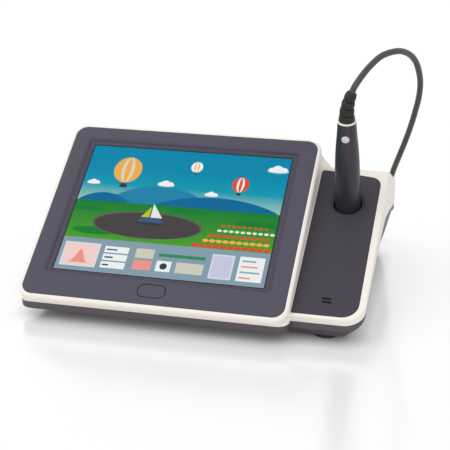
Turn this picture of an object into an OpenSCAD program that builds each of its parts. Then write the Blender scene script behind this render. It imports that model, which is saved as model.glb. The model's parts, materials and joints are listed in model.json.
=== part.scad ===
// Touch-screen tympanometer with a corded ear probe in a cradle.
// A tilted display unit and a lower wing on its right share one raised case.
// Units are millimetres. X runs to the user's right, Y away from the user and Z up.
// The origin is on the table, under the middle of the case.

/* [Case] */
// Width over the display and the wing
case_w = 271; // [266:1:285]
// Depth from the front rim to the rear wall
case_d = 219; // [217:1:230]
// Thickness of the moulded walls
wall = 2.5; // [2:0.1:3]
// Width of the joint between neighbouring case parts
gap = 0.3; // [0.2:0.05:0.5]
// Height of the case's underside above the table
base_z = 3.5; // [2.5:0.1:5]
// How far the foot of the base stands in from the case's sides
base_inset = 14; // [10:0.5:18]
// Height of the dark strip under the front rim
strip_h = 6.2; // [4:0.1:8]
// Height of the dark band under the white side walls
band_h = 3; // [2:0.1:5]
// Distance of the housing's top behind the front panel, from the panel's far edge
housing_set = 7; // [4:0.5:10]
// Height where the side walls' lower edge peaks
arch_z = 59.5; // [57:0.5:62]
// Height of the rear wall's lower edge
rear_low_z = 49.5; // [46:0.5:52]
// Height of the rear wall's upper edge
rear_top_z = 66; // [64:0.5:70]
// Corner radius of the case in plan
case_r = 10; // [6:1:14]

/* [Display] */
// Tilt of the display
display_tilt = 34; // [32:0.5:36]
// Height of the front panel's near edge
panel_z = 22.9; // [21.5:0.1:25]
// Length of the front panel up its slope
panel_l = 172.8; // [171:0.1:176]
// Thickness of the front panel
panel_t = 1.6; // [1.2:0.1:2]
// Width of the white rim round the front panel
rim_w = 3; // [2.5:0.1:4]
// Thickness of the display frame
frame_t = 8.5; // [8:0.1:10]
// Corner radius of the display frame
frame_r = 12.5; // [10:0.5:16]
// Distance from the panel's side edges to the visible screen
screen_side = 19.8; // [19:0.1:22]
// Distance from the panel's near edge to the visible screen
screen_low = 26.4; // [26:0.1:28]
// Distance from the panel's far edge to the visible screen
screen_far = 18.6; // [18:0.1:20]
// Width of the glass border at the screen's sides and top
border_w = 5.3; // [4:0.1:6.5]
// Width of the glass border below the screen
border_low = 3.5; // [3:0.1:5]
// Thickness of the touch glass
glass_t = 1.8; // [1.1:0.1:2.5]
// Thickness of the screen module
lcd_t = 6; // [5:0.1:7]

/* [Start button] */
// Width of the button
button_w = 21.8; // [18:0.1:26]
// Height of the button up the slope
button_h = 11.4; // [10:0.1:13]
// Corner radius of the button
button_r = 4.8; // [3:0.1:5.6]
// Distance of the button's middle from the front panel's near edge
button_up = 12.6; // [12:0.1:13]
// Travel of the button
button_travel = 0.8; // [0.4:0.1:1]

/* [Wing] */
// Width of the wing's panel
wing_w = 50; // [46:0.5:54]
// Tilt of the wing
wing_tilt = 29.3; // [28:0.1:30]
// Setback of the wing's panel from the display's panel
wing_setback = 14; // [12:0.5:16]
// Height of the wing panel's near edge
wing_z = 22.3; // [21:0.1:24]
// Length of the wing's panel up its slope
wing_l = 149.8; // [145:1:152]
// How much the panel's far edge falls away to the right
wing_slant = 5.5; // [0:0.5:7]
// Width of the white rim on the wing's right side
wing_rim = 5; // [4:0.1:7]
// Thickness of the wing's panel
wing_panel_t = 2.5; // [2:0.1:3]
// Depth of the white rim at the wing's front
wing_front_t = 6.5; // [6:0.1:8]
// Length of a sound slot
slot_l = 7.6; // [5:0.1:9]
// Width of a sound slot
slot_w = 1.7; // [1:0.1:2]
// Distance between the sound slots
slot_gap = 3.3; // [3:0.1:5]
// Distance of the slots from the wing panel's near edge
slot_up = 14.7; // [14:0.1:18]
// Diameter of the speaker
speaker_d = 20; // [16:0.5:22]

/* [Cradle] */
// Place of the cradle across the wing's panel, as a share of its width
cradle_share = 0.526; // [0.5:0.005:0.54]
// Distance of the cradle from the wing panel's near edge
cradle_up = 115; // [110:0.1:117]
// Bore of the cradle cup
cradle_d = 22.9; // [22.6:0.1:25]
// Width of the shallow dish round the cradle
dish_d = 27; // [25.5:0.5:30]
// Forward lean of the probe in the cradle
probe_lean = 17; // [14:0.5:18]

/* [Probe] */
// Diameter of the probe's handle at the cradle
handle_d = 21; // [19:0.1:21.3]
// Diameter of the handle's upper end
handle_top_d = 14.6; // [14.2:0.1:16.5]
// Height of the handle above the cradle
handle_h = 76.4; // [74:0.1:80]
// Wall of the handle's shells
handle_wall = 1.6; // [1.2:0.1:2]
// Thickness of the white ring
ring_t = 1.2; // [0.8:0.1:2]
// Diameter of the probe's button
probe_button_d = 6.1; // [5.5:0.1:7]
// Distance of the probe's button from the handle's upper end
probe_button_down = 11.7; // [10:0.1:16]
// Travel of the probe's button
probe_travel = 0.6; // [0.3:0.1:0.8]
// Length of the probe's tip below the handle
tip_l = 27; // [25:0.5:29]
// Diameter of the strain relief's lower end
boot_d = 12.3; // [11:0.1:13]
// Diameter of the strain relief's upper end
boot_top_d = 7.9; // [7:0.1:9]
// Length of one rib of the strain relief
boot_step = 6.4; // [5.5:0.1:7]
// Number of ribs on the strain relief
boot_ribs = 4; // [3:1:6]
// Sideways bend of the strain relief
boot_bend = 20; // [0:1:24]

/* [Cord] */
// Diameter of the cord
cord_d = 5; // [4:0.1:5]
// Outer radius of the coil, to the cord's middle
coil_r = 37; // [34:0.5:37]
// Distance between turns of the coil
coil_pitch = 5.6; // [5.5:0.1:5.8]
// Number of turns in the coil
coil_turns = 5.5; // [4.5:1:5.5]

/* [Rear connections] */
// Width of the connector plate
plate_w = 118; // [112:1:125]
// Height of the connector plate
plate_h = 25; // [22:1:28]
// Height of the connectors' middle line
port_z = 26; // [25:0.5:28]
// Bore of the headphone socket
jack_d = 3.6; // [3.5:0.05:3.8]
// Depth of the headphone socket
jack_l = 14; // [12:0.5:15]
// Bore of the power inlet
inlet_d = 5.6; // [5.5:0.1:6.5]

/* [Air pump] */
// Bore of the pump's cylinder
pump_bore = 15; // [12:0.5:17]
// Length of the pump's cylinder
pump_l = 58; // [50:1:62]
// Stroke of the piston to each side of the middle
pump_stroke = 15; // [5:1:17]
// Diameter of the pump's motor
motor_d = 26; // [20:1:28]

/* [Feet and screws] */
// Diameter of a rubber foot
foot_d = 18; // [12:1:20]
// Diameter of the case screws
screw_d = 3; // [2.5:0.1:3.5]

/* [Hidden] */
$fn = 64;

white = [0.94, 0.93, 0.90];
slate = [0.37, 0.36, 0.41];
dark_slate = [0.30, 0.29, 0.33];
black = [0.12, 0.12, 0.13];
board_green = [0.10, 0.35, 0.22];
steel = [0.70, 0.70, 0.72];
rubber_grey = [0.20, 0.20, 0.21];
clear = [0.55, 0.62, 0.66, 0.5];

// Small clearances
cut = 1;
seat = 0.3;
running = 0.05;

// Left, right, front and rear limits of the case
x_left = -case_w / 2;
x_right = case_w / 2;
y_front = -case_d / 2;
y_rear = case_d / 2;

// Reach of the blocks that only cut or trim
reach = 300;

// A depth given as a share of the case's depth from its front
function deep(share) = y_front + share * case_d;

// The display's own place: the middle of the front panel's near edge
display_w = case_w - wing_w - wing_rim;
display_x = x_left + display_w / 2;
panel_w = display_w - 2 * rim_w;
rim_round = min(rim_w, frame_t / 2.5);
panel_y = y_front + rim_round * (1 - sin(display_tilt)) + (rim_w - rim_round) * cos(display_tilt);
frame_l = panel_l + 2 * rim_w;

// Window, glass and screen, measured up the display's slope
screen_w = panel_w - 2 * screen_side;
screen_h = panel_l - screen_low - screen_far;
screen_up = screen_low + screen_h / 2;
window_w = screen_w + 2 * border_w;
window_low = screen_up - screen_h / 2 - border_low;
window_l = screen_h + border_low + border_w;
glass_lap = 3;
glass_z = -panel_t;
lcd_z = glass_z - glass_t - 0.3;
bracket_t = 1.2;
bracket_z = lcd_z - lcd_t;
ledge = 6;
bracket_w = panel_w - 5;
bracket_low = window_low - 3;
bracket_l = panel_l - housing_set - 2 * wall - bracket_low;

// The wing's own place: the near left corner of its panel
wing_x = x_left + display_w;
wing_y = panel_y + wing_setback;
wing_front = 3;
wing_r_front = 13;
wing_r_rear = 9;
wing_nose_r = 16;
wing_lap = 20;
shelf_t = 1.5;
cradle_side = cradle_share * wing_w;
slot_stagger = 0.35;

// Height of the display frame's underside at a given depth
function frame_under(y) = panel_z + (y - panel_y) * tan(display_tilt) - frame_t / cos(display_tilt);

// Turns a place on the display's or the wing's slope into depth and height
function on_slope(origin, tilt, up, out) = origin
    + [up * cos(tilt) - out * sin(tilt), up * sin(tilt) + out * cos(tilt)];
function display_yz(up, out) = on_slope([panel_y, panel_z], display_tilt, up, out);
function wing_yz(up, out) = on_slope([wing_y, wing_z], wing_tilt, up, out);

// Lower edge of the white walls, from the front to the rear
arch_front_y = display_yz(-rim_w, -frame_t)[0] + gap;
wing_foot = wing_yz(-wing_front, -wing_front_t);
knee = [deep(0.185), wing_foot[1] + 11.8];
function before_knee(y) = [y, knee[1] - (knee[0] - y) * (knee[1] - wing_foot[1]) / (knee[0] - wing_foot[0])];
arch = [
    [arch_front_y, frame_under(arch_front_y)],
    before_knee(wing_foot[0] - 2),
    knee,
    [deep(0.546), arch_z - 3],
    [deep(0.692), arch_z],
    [y_rear, rear_low_z]
];

// Upper edges of the white walls behind the display and behind the wing
housing_back = display_yz(panel_l - housing_set, -frame_t);
function up_rear(share) = rear_top_z + share * (housing_back[1] - rear_top_z);
rear_slope_main = [
    [y_rear, rear_top_z], [y_rear - 10, up_rear(0.25)], [deep(0.847), up_rear(0.52)],
    [deep(0.743), up_rear(0.781)], housing_back
];
wing_back = wing_yz(wing_l + wing_front, 0);
rear_slope_wing = [
    [y_rear, rear_top_z], [y_rear - 8, rear_top_z + 6], [y_rear - 22, rear_top_z + 10.5], wing_back
];
wing_nose = wing_yz(-wing_front, 0);

// Height of the slope that a profile's side follows, in from the walls
function inward(points, amount) = [for (p = points) [min(p[0], y_rear - amount), p[1] - amount * 1.2]];

// The base's cross-section at a depth: its top, the band's lower edge and its underside
base_front_y = arch[0][0];
base_rear_y = y_rear - 2;
heel_y = wing_foot[0] + 6;
heel_z = lookup(heel_y, arch);
base_stations = [
    [base_front_y, arch[0][1], arch[0][1] - strip_h, arch[0][1] - strip_h - 0.1],
    [arch[1][0], arch[1][1], arch[1][1] - strip_h, arch[1][1] - strip_h - 0.1],
    [heel_y, heel_z, heel_z - strip_h, base_z],
    [arch[2][0], arch[2][1], arch[2][1] - band_h, base_z],
    [arch[3][0], arch[3][1], arch[3][1] - band_h, base_z],
    [arch[4][0], arch[4][1], arch[4][1] - band_h, base_z],
    [y_rear - 20, lookup(y_rear - 20, arch), lookup(y_rear - 20, arch) - 2 * band_h, base_z],
    [base_rear_y, rear_low_z, rear_low_z - 2 * band_h, base_z + 4]
];

// Feet and screws
foot_sink = 1.5;
foot_x = [x_left + base_inset + 16, x_right - base_inset - 16];
foot_y = [y_front + 32, y_rear - 24];
boss_d = 8;
boss_z = 24;
boss_x = x_left + base_inset + 9;
case_bosses = [
    [boss_x, deep(0.263)], [boss_x, deep(0.637)], [-boss_x, deep(0.317)], [-boss_x, deep(0.783)],
    [x_left + 65.5, y_rear - 14], [x_right - 47.5, y_rear - 14]
];
screw_head = 2.4;
board_z = 12;
board_t = 1.6;
main_board_at = [-34, -58];
main_board_size = [100, 76];
power_board_at = [x_left + 29.5, -30];
power_board_size = [48, 58];
part_h = 12;
module_size = [44, 30, 1.2];

// The screen's cable rises from the main board to the tray's slot
cable_x = -16;
cable_y = main_board_at[1] + 66.3;
cable_w = 28;
cable_up = (cable_y - panel_y + bracket_z * sin(display_tilt)) / cos(display_tilt);

// Rear connections
plate_t = 2;
plate_y = base_rear_y - plate_t;
plate_x = 14;
port_depth = 15;
inlet_x = -32;
usb_x = -11;
socket_x = 15;
jack_x = 44;
port_y = plate_y + plate_t;

// Air system
pump_y = 45;
motor_l = 28;
pump_face = -72;
bracket_plate = 2;
bracket_d = motor_d + 4;
pump_wall = 2.5;
rod_d = 5;
manifold = [30, 20, 16];
tube_d = 6.5;
nozzle_d = 3.6;
nozzle_l = 3.5;

// The probe's own place: where its axis meets the wing's panel
probe_yz = wing_yz(cradle_up, 0);
probe_at = [wing_x + cradle_side, probe_yz[0], probe_yz[1]];
handle_low = -24;
tip_bore = 2;
seat_top = -30;
seat_low = handle_low - 16;
cup_floor = handle_low - tip_l - 3;
cup_wall = 2;
boot_z = handle_h + ring_t;
probe_button_up = handle_h - probe_button_down;

// The strain relief bends a little more at each rib
function boot_angle(i) = boot_bend * i / (boot_ribs - 1);
function boot_point(i) = i == 0
    ? [0, 0, boot_z]
    : boot_point(i - 1) + boot_step * [sin(boot_angle(i - 1)), 0, cos(boot_angle(i - 1))];
function from_probe(p) = probe_at + [
    p[0],
    p[1] * cos(probe_lean) - p[2] * sin(probe_lean),
    p[1] * sin(probe_lean) + p[2] * cos(probe_lean)
];
boot_end = from_probe(boot_point(boot_ribs));
boot_last = boot_angle(boot_ribs - 1);
boot_exit = from_probe(boot_point(boot_ribs) + cord_d * [sin(boot_last), 0, cos(boot_last)]);

// Routes of the cord, given from the case's rear right corner on the table:
// its arch from the probe to behind the case, and its drop from there to the table
cord_from = [x_right, y_rear, 0];
cord_gap = 0.05;
arch_shape = [
    [-18.5, -129.5, 188], [-12.7, -120.5, 195.3], [-5.5, -109.5, 201], [4, -97.5, 202.5],
    [11, -85.5, 199], [16, -73.5, 191.5], [18.8, -63.5, 181], [19.8, -53.5, 168.5],
    [18.5, -44.5, 154.5], [15.3, -35.5, 139.5], [11.5, -27.5, 124.5], [7, -19.5, 109.5],
    [2.2, -12.5, 95], [-2, -5.5, 82.5], [-5.3, 2, 71], [-7.2, 7, 61]
];
drop_shape = [
    [-8.8, 12, 39], [-11.5, 15.5, 27], [-16.5, 20.5, 16.5], [-23.5, 28, 9], [-31.5, 37.5, 4.5],
    [-38.5, 48.5, 2.8]
];
arch_end = cord_from + [-8, 9.5, 50];
arch_route = concat([boot_end, boot_exit], [for (p = arch_shape) cord_from + p], [arch_end]);

// The coil on the table, and where the cord runs into it
coil_at = [x_left + 187.5, y_rear + 85.5];
coil_z = cord_d / 2 + 0.1;
coil_start = [coil_at[0] + coil_r, coil_at[1] - cord_d, coil_z];
drop_start = arch_end - [0, 0, cord_gap];
drop_route = concat([drop_start], [for (p = drop_shape) cord_from + p],
    [coil_start + [2.5, -20, 0], coil_start - [0, cord_d, 0], coil_start]);

// Route of the cord from the coil to its plug
coil_end = [coil_at[0] - coil_r, coil_at[1] - cord_d, coil_z + coil_pitch];
plug_l = 20;
plug_boot_l = 13;
tail_start = [socket_x, port_y + plug_l + plug_boot_l, port_z];
tail_shape = [[0, cord_d, 0], [0, 13.5, -1], [0, 21.5, -4.5], [0, 29.5, -10], [0, 36.5, -15]];
tail_route = concat([tail_start], [for (p = tail_shape) tail_start + p],
    [coil_end - [0, cord_d, 0], coil_end]);

function unit(v) = v / norm(v);
function tangent(p, i) = unit(p[min(i + 1, len(p) - 1)] - p[max(i - 1, 0)]);
function across(n, t) = unit(n - (n * t) * t);
function normals(p, n, i = 0) = i == len(p)
    ? []
    : let (m = across(n, tangent(p, i))) concat([m], normals(p, m, i + 1));
function ring_at(c, t, n, r, sides) = [
    for (k = [0 : sides - 1])
        c + r * (cos(360 * k / sides) * n + sin(360 * k / sides) * cross(t, n))
];

// Triangles between rings of equal count, with a flat fan on each end
function skin_faces(rings, sides) = concat(
    [for (i = [0 : rings - 2], k = [0 : sides - 1])
        [i * sides + k, (i + 1) * sides + (k + 1) % sides, i * sides + (k + 1) % sides]],
    [for (i = [0 : rings - 2], k = [0 : sides - 1])
        [i * sides + k, (i + 1) * sides + k, (i + 1) * sides + (k + 1) % sides]],
    [for (k = [1 : sides - 2]) [0, k, k + 1]],
    [for (k = [1 : sides - 2])
        [(rings - 1) * sides, (rings - 1) * sides + k + 1, (rings - 1) * sides + k]]
);

// Coil: the turns spiral in on the lower layer and out again on the upper one
coil_steps = 24;
coil_rings = coil_turns * coil_steps;
climb_half = 0.25;
function coil_radius(t) = coil_r - coil_pitch * min(t, coil_turns - t);
function coil_lift(t) =
    coil_pitch * min(1, max(0, (t - coil_turns / 2 + climb_half) / (2 * climb_half)));
coil_body = [
    for (i = [0 : coil_rings])
        let (t = i / coil_steps)
        [coil_at[0] + coil_radius(t) * cos(360 * t),
         coil_at[1] + coil_radius(t) * sin(360 * t),
         coil_z + coil_lift(t)]
];
coil_route = concat([coil_start], coil_body, [coil_end]);

function path_length(p) = len(p) < 2
    ? 0
    : norm(p[1] - p[0]) + path_length([for (i = [1 : len(p) - 1]) p[i]]);
coil_least = min([
    for (i = [0 : len(coil_body) - 1], j = [i + 12 : len(coil_body) - 1])
        if (j < len(coil_body)) norm(coil_body[i] - coil_body[j])
]);
echo(coil_gap = coil_least - cord_d);
echo(cord_length = path_length(arch_route) + path_length(drop_route) + path_length(coil_route)
    + path_length(tail_route));

// A round tube along a route
module tube(route, d, sides) {
    turns = normals(route, [0.3, 0.1, 1]);
    points = [
        for (i = [0 : len(route) - 1])
            each ring_at(route[i], tangent(route, i), turns[i], d / 2, sides)
    ];
    polyhedron(points, skin_faces(len(route), sides), convexity = 10);
}

// A closed skin through six-sided cross-sections at successive depths
module base_loft(stations, left, right, inset) {
    points = [
        for (s = stations)
            each [[left, s[0], s[1]], [right, s[0], s[1]], [right, s[0], s[2]],
                  [right - inset, s[0], s[3]], [left + inset, s[0], s[3]], [left, s[0], s[2]]]
    ];
    polyhedron(points, skin_faces(len(stations), 6), convexity = 6);
}

// A flat outline with its own radius at each corner: front left, front right, rear right, rear left
module corner_rect(w, l, radii) {
    difference() {
        square([w, l]);
        for (c = [[0, 0, 0], [w, 0, 1], [w, l, 2], [0, l, 3]]) {
            r = radii[c[2]];
            if (r > 0) {
                translate([c[0], c[1]]) difference() {
                    square(2 * r, center = true);
                    translate([c[0] > 0 ? -r : r, c[1] > 0 ? -r : r]) circle(r);
                }
            }
        }
    }
}

module rounded_rect(w, l, r) {
    translate([-w / 2, 0]) corner_rect(w, l, [r, r, r, r]);
}

// A slab whose upper outer edge is rounded
module rounded_slab(w, l, r, t, edge) {
    linear_extrude(t - edge) rounded_rect(w, l, r);
    translate([0, edge, 0]) linear_extrude(t) rounded_rect(w - 2 * edge, l - 2 * edge, r - edge);
    for (side = [-1, 1])
        translate([side * (w / 2 - edge), r, t - edge]) rotate([-90, 0, 0])
            cylinder(h = l - 2 * r, r = edge);
    for (y = [edge, l - edge])
        translate([r - w / 2, y, t - edge]) rotate([0, 90, 0]) cylinder(h = w - 2 * r, r = edge);
    for (c = [[-1, r, 180], [1, r, 270], [1, l - r, 0], [-1, l - r, 90]])
        translate([c[0] * (w / 2 - r), c[1], t - edge]) rotate([0, 0, c[2]])
            rotate_extrude(angle = 90) translate([r - edge, 0]) circle(edge);
}

// A side view drawn as depth and height, extruded from one X to another
module side_prism(points, x0, x1) {
    translate([x0, 0, 0]) rotate([90, 0, 90]) linear_extrude(x1 - x0) polygon(points);
}

// The case's outline in plan, drawn in by a given amount
module case_plan(inset, rear, wing_y0 = wing_foot[0], nose_r = wing_nose_r) {
    r = case_r - inset;
    linear_extrude(reach) {
        translate([x_left + gap + inset, base_front_y + inset])
            corner_rect(display_w - 2 * gap - 2 * inset, rear - base_front_y - inset, [r, r, 0, r]);
        translate([wing_x - 2 * wing_lap, wing_y0 + inset])
            corner_rect(x_right - wing_x + 2 * wing_lap - inset, rear - wing_y0 - inset,
                        [0, max(nose_r - inset, 0), case_r + 4 - inset, 0]);
    }
}

module on_display() {
    translate([display_x, panel_y, panel_z]) rotate([display_tilt, 0, 0]) children();
}

module on_wing() {
    translate([wing_x, wing_y, wing_z]) rotate([wing_tilt, 0, 0]) children();
}

module on_probe() {
    translate(probe_at) rotate([probe_lean, 0, 0]) children();
}

// Display unit

module display_frame() {
    color(white) on_display() difference() {
        translate([0, -rim_w, -frame_t]) rounded_slab(display_w, frame_l, frame_r, frame_t, rim_round);
        translate([0, 0, -panel_t]) linear_extrude(panel_t + cut)
            rounded_rect(panel_w, panel_l, frame_r - rim_w);
        translate([0, ledge, -frame_t - cut])
            linear_extrude(frame_t + cut) rounded_rect(panel_w - 2 * ledge, panel_l - 2 * ledge, 6);
    }
}

module button_outline(grow) {
    translate([0, button_up - button_h / 2 - grow])
        rounded_rect(button_w + 2 * grow, button_h + 2 * grow, button_r + grow);
}

module bezel_panel() {
    color(slate) on_display() difference() {
        translate([0, gap / 2, -panel_t])
            linear_extrude(panel_t) rounded_rect(panel_w - gap, panel_l - gap, frame_r - rim_w);
        translate([0, window_low, -panel_t - cut])
            linear_extrude(panel_t + 2 * cut) rounded_rect(window_w, window_l, 2);
        translate([0, 0, -panel_t - cut]) linear_extrude(panel_t + 2 * cut) button_outline(gap);
    }
}

module touch_glass() {
    color(clear) on_display() translate([0, window_low - glass_lap, glass_z - glass_t])
        linear_extrude(glass_t) rounded_rect(window_w + 2 * glass_lap, window_l + 2 * glass_lap, 2);
}

module lcd_panel() {
    color([0.2, 0.45, 0.6]) on_display() {
        translate([-screen_w / 2, screen_up - screen_h / 2, lcd_z]) cube([screen_w, screen_h, 0.3]);
        translate([-screen_w / 2 - 6, screen_up - screen_h / 2 - 4, lcd_z - lcd_t])
            cube([screen_w + 12, screen_h + 9, lcd_t]);
    }
}

bracket_holes = [
    [-bracket_w / 2 + 4, bracket_low + 8], [bracket_w / 2 - 4, bracket_low + 8],
    [-bracket_w / 2 + 4, bracket_low + bracket_l - 8], [bracket_w / 2 - 4, bracket_low + bracket_l - 8]
];

// Sheet tray under the screen, with a block at each corner that reaches the frame
module lcd_bracket() {
    color(steel) on_display() difference() {
        union() {
            translate([-bracket_w / 2, bracket_low, bracket_z - bracket_t])
                cube([bracket_w, bracket_l, bracket_t]);
            for (p = bracket_holes)
                translate([p[0], p[1], bracket_z - bracket_t])
                    cylinder(h = -frame_t - bracket_z + bracket_t, d = 7);
        }
        for (p = bracket_holes)
            translate([p[0], p[1], bracket_z - bracket_t - cut])
                cylinder(h = 10, d = screw_d + 2 * running);
        translate([cable_x - display_x - cable_w / 2 - 4, cable_up - 4, bracket_z - bracket_t - cut])
            cube([cable_w + 8, 8, bracket_t + 2 * cut]);
    }
}

module bracket_screws() {
    color(steel) on_display() for (p = bracket_holes) {
        translate([p[0], p[1], bracket_z - bracket_t - 1.8]) cylinder(h = 1.8, d = 5.6);
        translate([p[0], p[1], bracket_z - bracket_t])
            cylinder(h = -frame_t - bracket_z + bracket_t, d = screw_d);
    }
}

stem_z = -6;
switch_top = stem_z - button_travel - 0.05;
module start_button() {
    color(slate) on_display() {
        translate([0, 0, -panel_t]) linear_extrude(panel_t - 0.1) button_outline(0);
        translate([0, button_up, stem_z]) cylinder(h = -stem_z - panel_t, d = 6);
        translate([-button_w / 2 - 2, button_up - 3, -panel_t - 1.6]) cube([button_w + 4, 6, 1.5]);
    }
}

button_board_z = switch_top - 4;
module button_board() {
    color(board_green) on_display() {
        translate([-20, button_up - 5.5, button_board_z - board_t]) cube([40, 11, board_t]);
        translate([-3, button_up - 3, button_board_z]) cube([6, 6, 3.2]);
        translate([0, button_up, button_board_z + 3.2]) cylinder(h = 0.8, d = 3.5);
        for (side = [-1, 1])
            translate([side * 18, button_up, button_board_z])
                cylinder(h = -button_board_z - panel_t, d = 3);
    }
}

// Case

module case_rib(b) {
    side = sign(b[0]);
    translate([side > 0 ? b[0] : x_left, b[1] - wall / 2, boss_z])
        cube([x_right - abs(b[0]), wall, 90]);
}

// The white case as a solid; the wing's front is cut square to the wing's slope
module white_body() {
    ahead = wing_front + wing_front_t;
    intersection() {
        union() {
            side_prism(concat(arch, rear_slope_main), x_left + gap, wing_x - gap);
            intersection() {
                side_prism(
                    concat([before_knee(wing_foot[0] - ahead)], [for (i = [2 : 5]) arch[i]],
                           rear_slope_wing, [wing_yz(-ahead, 0)]),
                    wing_x - wing_lap, x_right);
                on_wing() translate([-2 * wing_lap, -wing_front, -reach / 2]) linear_extrude(reach)
                    corner_rect(2 * wing_lap + wing_w + wing_rim, reach, [0, wing_nose_r, 0, 0]);
            }
        }
        case_plan(0, y_rear, wing_nose[0] - cut, 0);
    }
}

// The space inside the white case, at a given depth below its outer faces
module white_hollow(depth) {
    under_wing = -wing_panel_t - shelf_t * depth / wall;
    housing_top = panel_l - housing_set - 1.28 * depth;
    intersection() {
        union() {
            side_prism(
                concat([[base_front_y + depth, 0], [y_rear - depth, 0]],
                       inward([for (i = [0 : 3]) rear_slope_main[i]], depth),
                       [display_yz(housing_top, -frame_t), display_yz(housing_top, cut),
                        [base_front_y + depth, 40]]),
                x_left + gap + depth, wing_x - gap - depth);
            side_prism(
                concat([[wing_foot[0] + depth, 0], [y_rear - depth, 0]],
                       inward([for (i = [0 : 2]) rear_slope_wing[i]], depth),
                       [wing_yz(wing_l - 1, under_wing), wing_yz(1, under_wing)]),
                wing_x - wing_lap, x_right - depth);
        }
        case_plan(depth, y_rear - depth);
    }
}

module top_cover() {
    color(white) difference() {
        union() {
            difference() {
                white_body();
                white_hollow(wall);
            }
            difference() {
                intersection() {
                    white_hollow(wall / 2);
                    union() {
                        for (b = case_bosses)
                            translate([b[0], b[1], boss_z])
                                cylinder(h = reach / 2, d = boss_d, $fn = 8);
                        intersection() {
                            white_body();
                            union() for (i = [0 : 3]) case_rib(case_bosses[i]);
                        }
                    }
                }
                on_display() translate([-bracket_w / 2 - 4, -wing_lap, bracket_z - bracket_t - 3.5])
                    cube([bracket_w + 8, panel_l + 2 * wing_lap, reach / 4]);
            }
        }
        on_wing() translate([0, 0, -wing_panel_t]) linear_extrude(20) wing_outline(0);
        difference() {
            on_wing() translate([0, 0, -10]) linear_extrude(10) wing_outline(-3);
            translate([case_bosses[2][0], case_bosses[2][1], 0] - (boss_d / 2 + 1) * [1, 1, 0])
                cube([x_right, boss_d + 2, reach]);
        }
        on_probe() translate([0, 0, -40]) cylinder(h = 60, d = cradle_d + 2 * cup_wall + 1);
        for (b = case_bosses)
            translate([b[0], b[1], 0]) cylinder(h = boss_z + 9, d = screw_d + 2 * running);
    }
}

// Outline of the wing's panel, grown or drawn in. Its far edge falls away to the right,
// so the rounding between that edge and the right side has its own middle.
module wing_outline(grow) {
    left = -min(grow, 0);
    right = wing_w + grow;
    far = wing_l + grow;
    r = wing_r_rear + grow;
    turn = atan(wing_slant / wing_w);
    middle = [right - r, far - (r + (right - r) * sin(turn)) / cos(turn)];
    touch = middle + r * [sin(turn), cos(turn)];
    difference() {
        translate([left, -grow]) corner_rect(right - left, far + grow, [0, wing_r_front + grow, 0, 3]);
        translate([0, far]) rotate(-turn) translate([-cut, 0]) square([2 * wing_w, wing_w]);
        difference() {
            polygon([middle, touch, [right + cut, far + cut], [right + cut, middle[1]]]);
            translate(middle) circle(r);
        }
    }
}

module wing_panel() {
    color(dark_slate) difference() {
        on_wing() difference() {
            translate([0, 0, -wing_panel_t]) linear_extrude(wing_panel_t) wing_outline(-gap / 2);
            translate([cradle_side, cradle_up, -0.5]) cylinder(h = 2, d = dish_d);
            for (side = [-1, 1])
                translate([wing_w / 2 - side * slot_stagger, slot_up + side * slot_gap / 2,
                           -wing_panel_t - cut])
                    linear_extrude(wing_panel_t + 2 * cut) {
                        square([slot_l - slot_w, slot_w], center = true);
                        for (end = [-1, 1]) translate([end * (slot_l - slot_w) / 2, 0])
                            circle(d = slot_w);
                    }
        }
        on_probe() translate([0, 0, -20]) cylinder(h = 40, d = cradle_d);
    }
}

// Cup under the wing's panel: a wide bore, a conical seat and a narrow well for the tip
module cradle_cup() {
    color(black) difference() {
        union() {
            on_wing() translate([cradle_side, cradle_up, -wing_panel_t - 2])
                cylinder(h = 2, r = cradle_d / 2 + 6);
            difference() {
                on_probe() {
                    translate([0, 0, seat_top - 3]) cylinder(h = 60, d = cradle_d + 2 * cup_wall);
                    translate([0, 0, cup_floor])
                        cylinder(h = seat_top - cup_floor, d = 2 * tip_radius(seat_top) + 2 * cup_wall);
                }
                on_wing() translate([-wing_w, 0, -wing_panel_t]) cube([3 * wing_w, reach, reach]);
            }
        }
        on_probe() {
            translate([0, 0, seat_top]) cylinder(h = 80, d = cradle_d);
            translate([0, 0, seat_low])
                cylinder(h = seat_top - seat_low, r1 = tip_radius(seat_low) + seat,
                                                 r2 = tip_radius(seat_top) + seat);
            translate([0, 0, cup_floor + cup_wall])
                cylinder(h = seat_low - cup_floor, r = tip_radius(seat_low) + seat);
        }
    }
}

module speaker() {
    color(black) on_wing() translate([wing_w / 2, slot_up, -wing_panel_t]) {
        translate([0, 0, -3]) cylinder(h = 3, d = speaker_d);
        translate([0, 0, -5.5]) cylinder(h = 2.5, d = speaker_d - 6);
    }
}

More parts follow.
